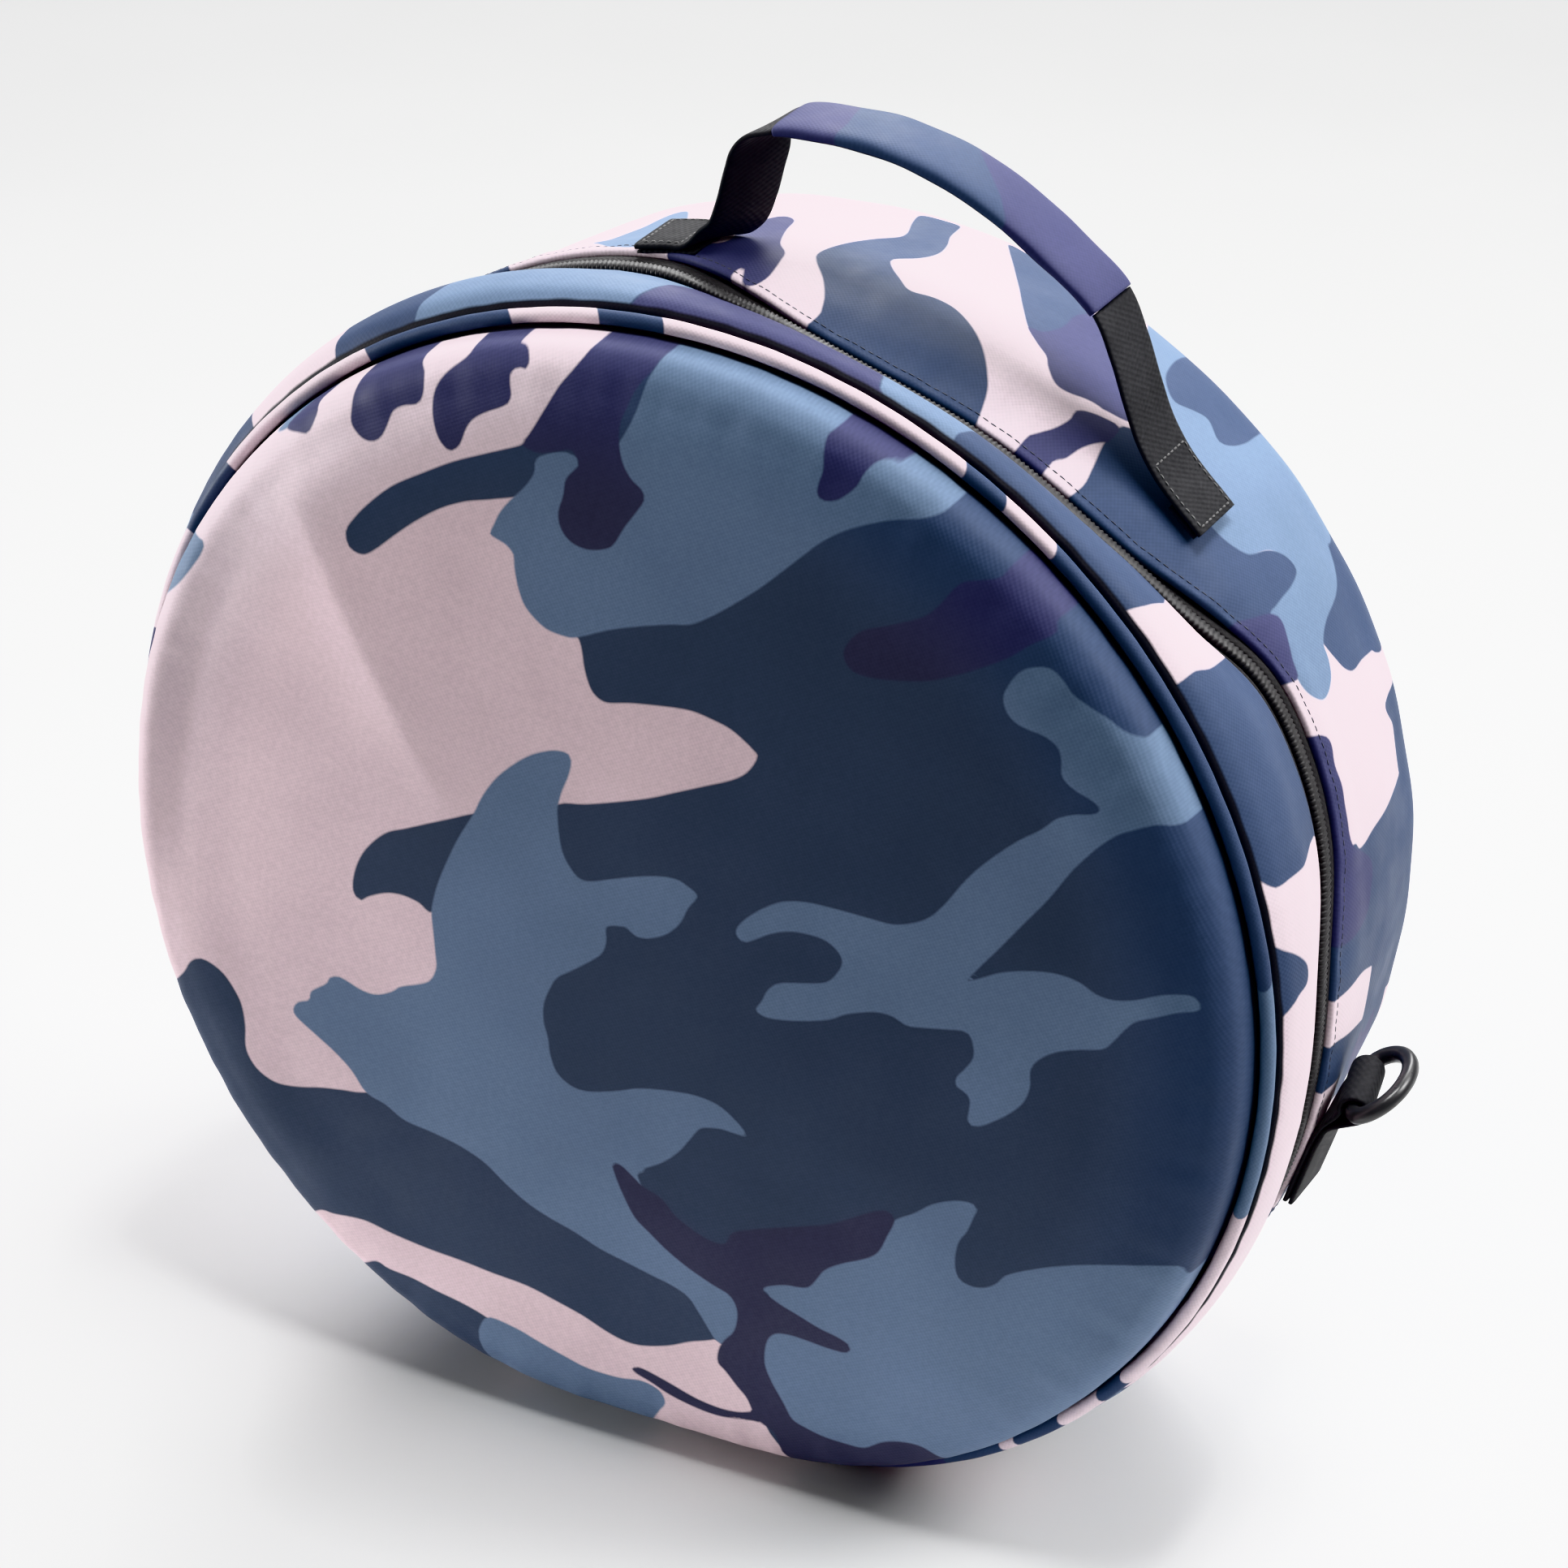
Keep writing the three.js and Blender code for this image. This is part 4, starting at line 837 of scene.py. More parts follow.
# ---------- front panel ----------
def along_line(points, at):
    """Share along an open smooth line and signed distance to its lower left, for each point."""
    p = np.asarray(points, float)
    u = np.linspace(0, len(p) - 1, 60)
    line = np.stack([cubic(u, np.arange(len(p)), p[:, k]) for k in (0, 1)], -1)
    step = np.gradient(line, axis=0)
    step /= np.linalg.norm(step, axis=1, keepdims=True)
    share, far = np.zeros(len(at)), np.full(len(at), 1e3)
    close = np.nonzero(np.abs(at - line.mean(0)).max(1) < 110)[0]
    g = at[close][:, None, :] - line[None]
    k = (g**2).sum(2).argmin(1)
    d = g[np.arange(len(close)), k]
    share[close] = k / 59
    far[close] = np.sign(d[:, 0] * step[k, 1] - d[:, 1] * step[k, 0]) * np.hypot(d[:, 0], d[:, 1])
    return share, far


def ridge(points, at, height, left, right):
    share, far = along_line(points, at)
    width = np.where(far > 0, left, right)
    return height * np.exp(-((far / width) ** 2)) * ramp(share, 0, 0.25) * (1 - ramp(share, 0.7, 1))


def fold(ends, at, height, drop, reach):
    """A soft fold along a nearly straight line: the cloth falls away on its lower left side."""
    start_at, run = np.array(ends[0], float), np.subtract(ends[1], ends[0]).astype(float)
    length = np.hypot(*run)
    run /= length
    g = at - start_at
    share = g @ run / length
    far = g @ np.array([run[1], -run[0]]) + 5 * (share - 0.5) ** 2
    beyond = 0.5 * (far + np.sqrt(far**2 + 16))
    line = height * np.exp(np.minimum(far, 0) / 30) - drop * (1 - np.exp(-beyond / reach))
    return line * ramp(share, -0.4, 0.25) * (1 - ramp(share, 0.6, 1.2))


def panel_piece():
    around = 640
    angles = CONTACT + np.arange(around) * 360 / around
    chord = np.concatenate([[0], np.cumsum(np.hypot(*np.diff(PANEL_SKIN, axis=0).T))])
    t = np.concatenate([np.arange(3, 141, 1.5), np.arange(141.5, chord[-1] - 0.4, 0.9), [chord[-1]]])
    radius, rise = cubic(t, chord, PANEL_SKIN[:, 0]), cubic(t, chord, PANEL_SKIN[:, 1])
    fuller = lambda r: 1 + (course("full", angles)[None] - 1) * (r[:, None] / RING_R) ** 4
    p = place(angles[None], radius[:, None], -rise[:, None] * np.where(rise[:, None] > 0, fuller(radius), 1), 0.3)
    at = p[..., [0, 2]].reshape(-1, 2)
    folded = lambda q: fold(CREASE, q, 2.5, 7.2, 20)
    lift = folded(at)
    lift += ridge([(100, -104), (117.5, -80.6), (133.2, -57.9)], at, 0.7, 9, 9)
    lift += 0.35 * np.sin(at[:, 0] / 23 + 0.7) * np.sin(at[:, 1] / 31 + 0.4)
    lift = lift.reshape(p.shape[:2]) * (1 - ramp(radius, 138, 154))[:, None]
    rim = (ramp(radius, 136, 150) * (1 - ramp(t, chord[8], chord[9])))[:, None]
    a = angles[None] * DEG
    lift = lift + rim * (0.10 * np.sin(61 * a + 1) + 0.08 * np.sin(97 * a) + 0.10 * np.sin(23 * a + 2))
    p[..., 1] -= lift
    lining = place(angles[None], PANEL_LINING[:-1, :1], -PANEL_LINING[:-1, 1:] * fuller(PANEL_LINING[:-1, 0]), 3)
    lining[..., 1] -= folded(lining[..., [0, 2]].reshape(-1, 2)).reshape(lining.shape[:2]) * (1 - ramp(PANEL_LINING[:-1, :1], 138, 151))
    rows = np.concatenate([p, lining])
    verts = np.concatenate([rows.reshape(-1, 3), [(0, -21 - lift[0].mean(), 0), (0, -16, 0)]])
    n, total = len(rows), len(rows) * around
    k = np.arange(around)
    faces = [
        grid_faces(n, around, loop_cols=True),
        np.stack([np.full(around, total), k, (k + 1) % around], -1),
        np.stack([np.full(around, total + 1), (n - 1) * around + (k + 1) % around, (n - 1) * around + k], -1),
    ]
    at = verts[:, [0, 2]]
    layers = printed(at, PANEL_PRINT)
    # Share of the shaded copy of the print's colours: painted shade, full in the middle and on the lower rim of the
    # front panel, fading out towards its upper rim
    layers["front"] = 1 - ramp(np.hypot(at[:, 0], at[:, 1]), 116, 154) * ramp(at[:, 1], -90, 60)
    # Painted shade in the groove by the piping: the panel's outermost rows take the dark seam colour
    layers["seam"] = np.concatenate([np.repeat(np.clip(t - chord[8] + 1.5, -FAR, FAR), around), np.full(len(verts) - len(t) * around, -FAR)])
    obj = make("panel_cloth", verts, faces, PRINT, nodes=["front_panel"], uv=at, layers=layers)


# ---------- piping ----------
def striped(angles, ends):
    """Signed distances along a cord whose colour changes at the given angles."""
    a = wrap(angles)
    layers = {key: np.full(len(a), -FAR) for key in ("pink", "navy", "blue", "purple")}
    begin = -180.0
    for end, colour in ends:
        lo, hi = (-200 if begin == -180 else begin), (200 if end == 180 else end)
        d = np.minimum(a - lo, hi - a) * DEG * RING_R
        layers[colour] = np.maximum(layers[colour], np.clip(d, -FAR, FAR))
        begin = end
    return layers


def piping_piece():
    around, section = 900, 14
    angles = CONTACT + np.arange(around) * 360 / around
    c = place(angles, RING_R, 0.0, PIPING_RADIUS)
    out = c * [1, 0, 1] / np.linalg.norm(c[:, [0, 2]], axis=1)[:, None]
    w = np.arange(section) * 2 * math.pi / section
    r = WELT_RADIUS * (1 + 0.02 * np.sin(37 * angles * DEG) + 0.015 * np.sin(83 * angles * DEG + 1))[:, None, None]
    verts = c[:, None] + r * (np.cos(w)[None, :, None] * out[:, None] + np.sin(w)[None, :, None] * np.array([0, 1, 0]))
    slant = wrap(angles)[:, None] + 0.5 * np.sin(w)[None]
    layers = striped(slant.ravel(), PIPING_PRINT)
    uv = np.stack(np.broadcast_arrays((angles - CONTACT)[:, None] * DEG * RING_R, w[None] * PIPING_RADIUS), -1).reshape(-1, 2)
    make("piping_welt", verts.reshape(-1, 3), grid_faces(around, section, True, True), PRINT,
         nodes=["front_piping"], uv=uv, layers=layers)


# ---------- front band ----------
def band_piece():
    around = 900
    angles = CONTACT + np.arange(around) * 360 / around
    depth, dip, bulge = (course(k, angles)[None] for k in ("depth", "dip", "bulge"))
    a = np.concatenate([[0, 0.02, 0.05], np.linspace(0.09, 0.94, 24), [0.97, 1]])[:, None]
    crest = cubic(a, BAND_ROWS[:, 0], BAND_ROWS[:, 1])
    y0, y1 = 2.55, depth - CLOTH_EDGE + 2 * shut_part(angles)[None]
    y = y0 + (y1 - y0) * a
    r = BAND_FRONT_R + (BAND_EDGE_R - dip - BAND_FRONT_R) * a + bulge * crest
    w = angles[None] * DEG
    pucker = np.exp(-((a / 0.2) ** 2)) + np.exp(-(((1 - a) / 0.2) ** 2))
    r = r + pucker * (0.07 * np.sin(71 * w) + 0.06 * np.sin(113 * w + 2)) * ramp(a, 0, 0.04) * (1 - ramp(a, 0.96, 1))
    skin = place(angles[None], r, y)
    back = lambda row, drop, shift: place(angles, r[row] - drop, y[row] + shift, 2.0)
    under = [back(-1, 0.7, 0.35), back(-1, 1.7, 0.2), back(-1, 2.4, -0.6), back(18, 2.6, 0), back(10, 2.6, 0), back(1, 2.6, 0.5), back(0, 1.6, 0)]
    rows = np.concatenate([skin, np.stack(under)])
    verts = rows.reshape(-1, 3)
    along = np.broadcast_to((wrap(angles))[None], rows.shape[:2]).reshape(-1)
    at = np.stack([along, verts[:, 1]], -1)
    layers = printed(at, BAND_PRINT, (DEG * RING_R, 1))
    # Painted shade in the groove beside the piping: the band's edge next to it takes the dark seam colour
    layers["seam"] = np.clip(3.75 - verts[:, 1], -FAR, FAR)
    uv = np.stack([np.broadcast_to(((angles - CONTACT) * DEG * RING_R)[None], rows.shape[:2]).reshape(-1), verts[:, 1]], -1)
    obj = make("band_cloth", verts, grid_faces(len(rows), around, True, True), PRINT,
               nodes=["front_band"], uv=uv, layers=layers)
    return angles, skin


# ---------- rear gusset ----------
def gusset_profile(angles, samples):
    """Depth and radius of the gusset's skin, samples by angles."""
    depth, dip, swell = (course(k, angles) for k in ("depth", "dip", "swell"))
    pressed = 1 - ramp(np.abs(wrap(angles - CONTACT)), 22, 52)
    ys, rs = [], []
    for across, radius, under, dips, swells in GUSSET_FRONT:
        start_y = depth + CLOTH_EDGE + 2.2 * open_part(angles) - 3 * shut_part(angles)
        ys.append(start_y + (CROWN_Y - start_y) * across)
        rs.append((radius + swell * swells) * (1 - pressed) + under * pressed - (dip + 1.4 * shut_part(angles)) * dips)
    for at, radius, under, swells in GUSSET_REAR:
        ys.append(np.full(len(angles), at))
        rs.append((radius + swell * swells) * (1 - pressed) + under * pressed)
    ys, rs = np.array(ys), np.array(rs)
    chord = np.concatenate([np.zeros((1, len(angles))), np.cumsum(np.hypot(np.diff(ys, axis=0), np.diff(rs, axis=0)), 0)])
    y, r = np.empty((len(samples), len(angles))), np.empty((len(samples), len(angles)))
    for k in range(len(angles)):
        t = samples * chord[-1, k]
        y[:, k], r[:, k] = cubic(t, chord[:, k], ys[:, k]), cubic(t, chord[:, k], rs[:, k])
    return y, r


def gusset_piece():
    around = 900
    angles = CONTACT + np.arange(around) * 360 / around
    samples = np.concatenate([[0, 0.008], np.linspace(0.02, 0.8, 44), np.linspace(0.82, 1, 14)])
    y, r = gusset_profile(angles, samples)
    w = angles[None] * DEG
    a = samples[:, None]
    pucker = np.exp(-((a / 0.12) ** 2)) * ramp(a, 0, 0.02)
    r = r + pucker * (0.12 * np.sin(67 * w + 0.5) + 0.1 * np.sin(109 * w))
    fold = np.exp(-(((a - 0.72) / 0.2) ** 2)) * ramp(np.abs(wrap(angles - CONTACT))[None], 40, 70)
    r = r + fold * (0.3 * np.sin(19 * w + 5 * a) + 0.25 * np.sin(31 * w - 4 * a + 1))
    skin = place(angles[None], r, y)
    inner = lambda row, drop, shift: place(angles, r[row] - drop, y[row] + shift, 2.6)
    under = [inner(-1, 0.6, -1.2), inner(-1, 0.2, -2.8), inner(-8, 3, -1.5), inner(40, 3, 0), inner(24, 3, 0), inner(8, 2.6, 0),
             inner(0, 2.2, 0.4), inner(0, 1.6, -0.2), inner(0, 0.7, -0.35)]
    rows = np.concatenate([skin, np.stack(under)])
    verts = rows.reshape(-1, 3)
    shape = rows.shape[:2]
    at = np.stack([np.broadcast_to(wrap(angles)[None], shape).reshape(-1) * DEG * RING_R, verts[:, 1]], -1)
    layers = printed(at, {c: {k: np.asarray(v) * (DEG * RING_R, 1) for k, v in g.items()} for c, g in GUSSET_PRINT.items()}, ground="pink")
    over = np.max([inside(at, np.asarray(v) * (DEG * RING_R, 1)) for v in GUSSET_PRINT["navy over blue"].values()], 0)
    layers["navy"] = np.maximum(layers["navy"] + 0.3, over + 0.8)
    layers["blue"] = np.minimum(layers["blue"] + 0.6, -over)
    layers["purple"] = layers["purple"] + 0.4
    for span, seed in ((((85, 176), (44, 112)), 11), (((-176, -48), (44, 112)), 12)):
        reach = tuple(v * DEG * RING_R for v in span[0])
        more = printed(at, scattered((reach, span[1]), (("navy", 7, 19), ("blue", 6, 15), ("purple", 6, 12)), seed))
        for key in ("navy", "blue", "purple"):
            layers[key] = np.maximum(layers[key], more[key])
    uv = np.stack([np.broadcast_to(((angles - CONTACT) * DEG * RING_R)[None], shape).reshape(-1), verts[:, 1]], -1)
    obj = make("gusset_cloth", verts, grid_faces(len(rows), around, True, True), PRINT,
               nodes=["rear_gusset"], uv=uv, layers=layers)
    return angles, skin


# ---------- back panel ----------
def back_piece():
    around = 560
    angles = CONTACT + np.arange(around) * 360 / around
    radius = np.concatenate([np.arange(3, 142, 2.0), [142.2, 143.0, 143.25]])
    depth = cubic(radius, BACK_SKIN[:, 0], BACK_SKIN[:, 1]) - 0.8 * ramp(radius, 140, 143.25)
    p = place(angles[None], radius[:, None], depth[:, None], 1)
    x, z = p[..., 0], p[..., 2]
    p[..., 1] += (0.3 * np.sin(x / 27 + 1) * np.sin(z / 35)) * (1 - ramp(radius, 125, 141))[:, None]
    back = place(angles[None], np.array([143.2, 110, 55])[:, None], np.array([114.2, 115.4, 116.6])[:, None], 1)
    rows = np.concatenate([p, back])
    verts = np.concatenate([rows.reshape(-1, 3), [(0, 120, 0), (0, 117, 0)]])
    n, total = len(rows), len(rows) * around
    k = np.arange(around)
    faces = [
        grid_faces(n, around, loop_cols=True),
        np.stack([np.full(around, total), k, (k + 1) % around], -1),
        np.stack([np.full(around, total + 1), (n - 1) * around + (k + 1) % around, (n - 1) * around + k], -1),
    ]
    turn = 140 * DEG
    x, z = -verts[:, 0], verts[:, 2]
    at = np.stack([x * math.cos(turn) - z * math.sin(turn), x * math.sin(turn) + z * math.cos(turn)], -1)
    obj = make("back_cloth", verts, faces, PRINT, nodes=["back_panel"],
               uv=verts[:, [0, 2]], layers=printed(at, PANEL_PRINT))


# ---------- zip ----------
def ribbon_around(angles, offsets, radii, lift):
    """Rows of points along the zip: offsets from its middle, radii without the dip."""
    depth, dip = course("depth", angles)[:, None], course("dip", angles)[:, None]
    return place(angles[:, None], np.asarray(radii)[None] - dip, depth + np.asarray(offsets)[None], lift)


def capped(rows, cols):
    """Faces of a closed section run along a line, with an end on each side."""
    ends = np.arange(cols)
    return [
        grid_faces(rows, cols, loop_cols=True),
        np.stack([np.zeros(cols - 2, int), ends[1:-1], ends[2:]], -1),
        np.stack([np.zeros(cols - 2, int), ends[2:], ends[1:-1]], -1) + (rows - 1) * cols,
    ]


def zip_pieces():
    angles = np.linspace(-145, HINGE_FROM, 620)
    run = (angles + 145) * DEG * TAPE_R
    for name, side in (("zip_tape_front", -1), ("zip_tape_rear", 1)):
        offsets = side * np.array([2.75, 3.6, 5.2, 6.8, 8.0, 8.5, 8.5, 8.0, 5.2, 3.2, 2.75])
        radii = TAPE_R - np.array([0.35, 0.05, 0, 0, 0.02, 0.25, 0.9, 1.15, 1.15, 1.15, 0.9])
        wide, level = open_part(angles)[:, None], flush_part(angles)[:, None]
        reach = np.abs(offsets)[None]
        rise = (1.7 * np.maximum(wide, level)) * (1 - ramp(reach - 1.4 * wide, 5.3, 6.9))
        depth, dip = course("depth", angles)[:, None], course("dip", angles)[:, None]
        p = place(angles[:, None], radii[None] + rise - dip, depth + offsets[None], 0.6)
        uv = np.stack(np.broadcast_arrays(run[:, None], offsets[None]), -1).reshape(-1, 2)
        make(name + "_cloth", p.reshape(-1, 3), capped(len(angles), len(offsets)), TAPE, nodes=[name], uv=uv)
    # teeth: one coil on each side, half a pitch apart
    pitch, section = 1.4, 12
    count = int((HINGE_FROM + 145) * DEG * TAPE_R / pitch)
    angles = np.linspace(-145, HINGE_FROM, count * 4 + 1)
    w = np.arange(section) * 2 * math.pi / section
    phase = np.arange(len(angles))[:, None] / 4 + np.where(np.cos(w) > 0, 0.5, 0)[None]
    full = 1 - 0.24 * (0.5 + 0.5 * np.cos(2 * math.pi * phase))
    middle = 1 - 0.2 * np.exp(-((np.cos(w) / 0.35) ** 2))[None]
    across = 2.3 * np.sign(np.cos(w)) * np.abs(np.cos(w)) ** 0.8
    depth, dip = course("depth", angles)[:, None], course("dip", angles)[:, None] - 1.3 * np.maximum(open_part(angles), flush_part(angles))[:, None]
    p = place(angles[:, None], TAPE_R + 0.1 - dip + 1.6 * np.sin(w)[None] * full * middle, depth + across[None] * full, 0.6)
    run = (angles + 145) * DEG * TAPE_R
    uv = np.stack(np.broadcast_arrays(run[:, None], 2 * w[None]), -1).reshape(-1, 2)
    make("zip_teeth", p.reshape(-1, 3), capped(len(angles), section), COIL, nodes=["zip_coil"], uv=uv)


def hinge_piece():
    angles = np.linspace(HINGE_FROM + 0.2, HINGE_TO - 0.2, 130)
    offsets = np.concatenate([np.linspace(-5.6, 5.6, 9), [5.3], np.linspace(4.5, -4.5, 4), [-5.3]])
    radii = np.concatenate([160.5 - 0.5 * (np.abs(np.linspace(-1, 1, 9)) ** 6), [159.2], np.full(4, 158.7), [159.2]])
    p = ribbon_around(angles, offsets, radii, 0.25)
    run = (angles - HINGE_FROM) * DEG * RING_R
    at = np.stack(np.broadcast_arrays(run[:, None], offsets[None]), -1).reshape(-1, 2)
    chart = scattered(((0, 190), (-6, 6)), (("pink", 5, 16), ("blue", 3, 12), ("purple", 3, 10)), 21)
    make("hinge_cloth", p.reshape(-1, 3), capped(len(angles), len(offsets)), PRINT,
         nodes=["hinge_strip"], uv=at, layers=printed(at, chart))


# ---------- carry handle ----------
def smooth_line(points, shares):
    """Centripetal curve through the points at shares of its length in points."""
    p = np.asarray(points, float)
    last = len(p) - 1
    out = []
    for share in np.clip(shares, 0, 1) * last:
        i = min(int(share), last - 1)
        w = share - i
        p1, p2 = p[i], p[i + 1]
        p0 = p[i - 1] if i else 2 * p1 - p2
        p3 = p[i + 2] if i + 2 <= last else 2 * p2 - p1
        d0, d1, d2 = (np.sqrt(np.linalg.norm(b - a)) for a, b in ((p0, p1), (p1, p2), (p2, p3)))
        t1 = ((p1 - p0) / d0 - (p2 - p0) / (d0 + d1) + (p2 - p1) / d1) * d1
        t2 = ((p2 - p1) / d1 - (p3 - p1) / (d1 + d2) + (p3 - p2) / d2) * d1
        out.append(p1 + t1 * w + (3 * (p2 - p1) - 2 * t1 - t2) * w**2 + (2 * (p1 - p2) + t1 + t2) * w**3)
    return np.array(out)


def on_drum(radius, angle):
    return radius * math.sin(angle * DEG), radius * math.cos(angle * DEG)


HANDLE_LINE = [on_drum(FOOT_LEFT[0], a) for a in FOOT_LEFT[1]] + HANDLE_ROUTE + [on_drum(FOOT_RIGHT[0], a) for a in FOOT_RIGHT[1]]
GRIP_FROM = (3 + GRIP_ROWS[0]) / (len(HANDLE_LINE) - 1)
GRIP_TO = (3 + GRIP_ROWS[1]) / (len(HANDLE_LINE) - 1)


def frames(line):
    """Direction along a line in the handle's plane and the one out of its outer face."""
    t = np.gradient(line, axis=0)
    t /= np.linalg.norm(t, axis=1, keepdims=True)
    return t, np.stack([-t[:, 1], t[:, 0]], -1)


def lengths(line):
    return np.concatenate([[0], np.cumsum(np.linalg.norm(np.diff(line, axis=0), axis=1))])


def swept(line, across, thick, twist=0.0):
    """A section (rows by points) run along a line in the handle's plane."""
    _, through = frames(line)
    c, s = np.cos(np.asarray(twist) * DEG), np.sin(np.asarray(twist) * DEG)
    out = thick * c - across * s
    return np.stack([line[:, 0:1] + through[:, 0:1] * out, HANDLE_Y + across * c + thick * s, line[:, 1:2] + through[:, 1:2] * out], -1)


def signed_power(v, k):
    return np.sign(v) * np.abs(v) ** k


def web_section(points=24, width=WEB_WIDTH, thick=WEB_THICK):
    w = (np.arange(points) + 0.5) * 2 * math.pi / points
    return width / 2 * signed_power(np.cos(w), 0.28), thick / 2 * signed_power(np.sin(w), 0.45)


def webbing_run(line, width=WEB_WIDTH, thick=WEB_THICK, section=24, twist=0.0):
    a, t = web_section(section, width, thick)
    s = lengths(line)
    turn = twist * ramp(s, 11, 22) * (1 - ramp(s, s[-1] - 15, s[-1] - 2))
    p = swept(line, np.broadcast_to(a, (len(line), section)), np.broadcast_to(t, (len(line), section)), turn[:, None])
    uv = np.stack(np.broadcast_arrays(s[:, None], a[None]), -1)
    return p.reshape(-1, 3), capped(len(line), section), uv.reshape(-1, 2)


def join(parts):
    verts, faces, uvs, start_at = [], [], [], 0
    for v, f, uv in parts:
        verts.append(v)
        faces += [np.asarray(x) + start_at for x in (f if isinstance(f, list) else [f])]
        uvs.append(uv)
        start_at += len(v)
    return np.concatenate(verts), faces, np.concatenate(uvs)


def handle_pieces():
    # padded grip
    rows, section = 150, 40
    share = np.linspace(0, 1, rows)
    line = smooth_line(HANDLE_LINE, GRIP_FROM + (GRIP_TO - GRIP_FROM) * share)
    full = 0.72 + 0.28 * np.sin(math.pi * share) ** 0.5
    s = lengths(line)
    w = (np.arange(section) + 0.5) * 2 * math.pi / section
    across = 10.5 * signed_power(np.cos(w), 0.5)[None] * (0.9 + 0.1 * full)[:, None]
    thick = 2.4 * signed_power(np.sin(w), 0.7)[None] * full[:, None]
    wave = 0.12 * np.sin(s / 3.1)[:, None] * np.sin(s / 17)[:, None] * np.abs(np.cos(w))[None] ** 2
    p = swept(line, across, thick * (1 + wave))
    at = np.stack(np.broadcast_arrays(s[:, None], across), -1)
    chart = at.reshape(-1, 2)
    layers = printed(chart, GRIP_PRINT)
    layers["purple"] = -np.maximum(layers["navy"], layers["blue"])
    # Painted shade along the grip's lower edge: its underside takes the dark seam colour
    layers["seam"] = np.clip(-0.9 - thick, -FAR, FAR).reshape(-1)
    obj = make("grip_cloth", p.reshape(-1, 3), capped(rows, section), PRINT,
               nodes=["handle_grip"], uv=chart, layers=layers)
    # webbing legs and their folded feet
    gap = 0.0012
    left = smooth_line(HANDLE_LINE, np.linspace(0, GRIP_FROM - gap, 110))
    right = smooth_line(HANDLE_LINE, np.linspace(GRIP_TO + gap, 1, 110))
    under_left = np.array([on_drum(FOOT_LEFT[0] - 1.42, a) for a in np.linspace(FOOT_LEFT[1][0] + 0.15, FOOT_LEFT[1][2] + 0.2, 24)])
    under_right = np.array([on_drum(FOOT_RIGHT[0] - 1.75, a) for a in np.linspace(FOOT_RIGHT[1][0] - 0.3, FOOT_RIGHT[1][2] - 0.12, 24)])
    for name, line, under, thick, twist in (("left", left, under_left, 1.0, 22), ("right", right, under_right, 1.6, 0)):
        v, f, uv = join([webbing_run(line, twist=twist), webbing_run(under, WEB_WIDTH - 0.5, thick)])
        make(f"strap_{name}_webbing", v, f, WEBBING, nodes=[f"handle_strap_{name}"], uv=uv)


# ---------- tab and ring ----------
TAB_ANGLE, TAB_Y, TAB_WIDTH = 89.8, 51.0, 19.5
TAB_LOW, TAB_HIGH = -15.0, 11.0
EYE_AT, EYE_IN, EYE_OUT = (20.0, 5.5), 2.9, 4.5
TAB_TWIST = 12.0
RING_HALF, RING_REACH, RING_WIRE, RING_CORNER, RING_LIFT = 12.8, 13.6, 2.1, 4.0, 42.0


def tab_place(p):
    up = np.array([-math.cos(TAB_ANGLE * DEG), 0, math.sin(TAB_ANGLE * DEG)])
    out = np.array([math.sin(TAB_ANGLE * DEG), 0, math.cos(TAB_ANGLE * DEG)])
    origin = out * 160.6 + [0, TAB_Y, 0]
    return origin + p[..., 0:1] * up + p[..., 1:2] * out + p[..., 2:3] * np.cross(up, out)


def tab_twist(p, share=None):
    if share is None:
        share = ramp(p[..., 0], 3, 18)
    a = TAB_TWIST * DEG * share
    y, z = p[..., 1] - EYE_AT[1] * share, p[..., 2]
    return np.stack([p[..., 0], EYE_AT[1] * share + y * np.cos(a) - z * np.sin(a), y * np.sin(a) + z * np.cos(a)], -1)


def tab_piece():
    mid = (EYE_IN + EYE_OUT) / 2
    arc = np.linspace(-125, 125, 15) * DEG
    low = [(x, 0.8) for x in np.linspace(TAB_LOW, TAB_HIGH, 6)]
    high = [(x, 2.35) for x in np.linspace(TAB_HIGH, TAB_LOW, 6)]
    route = low + [(EYE_AT[0] + mid * math.cos(a), EYE_AT[1] + mid * math.sin(a)) for a in arc] + high
    line = smooth_line(route, np.linspace(0, 1, 220))
    _, out = frames(line)
    a, t = web_section(24, TAB_WIDTH - 0.1, 1.45)
    p = np.stack(np.broadcast_arrays(
        line[:, 0:1] + out[:, 0:1] * t[None], line[:, 1:2] + out[:, 1:2] * t[None], a[None]), -1)
    v = tab_place(tab_twist(p)).reshape(-1, 3)
    uv = np.stack(np.broadcast_arrays(lengths(line)[:, None], a[None]), -1).reshape(-1, 2)
    make("tab_webbing", v, capped(len(line), 24), WEBBING, nodes=["ring_tab"], uv=uv)


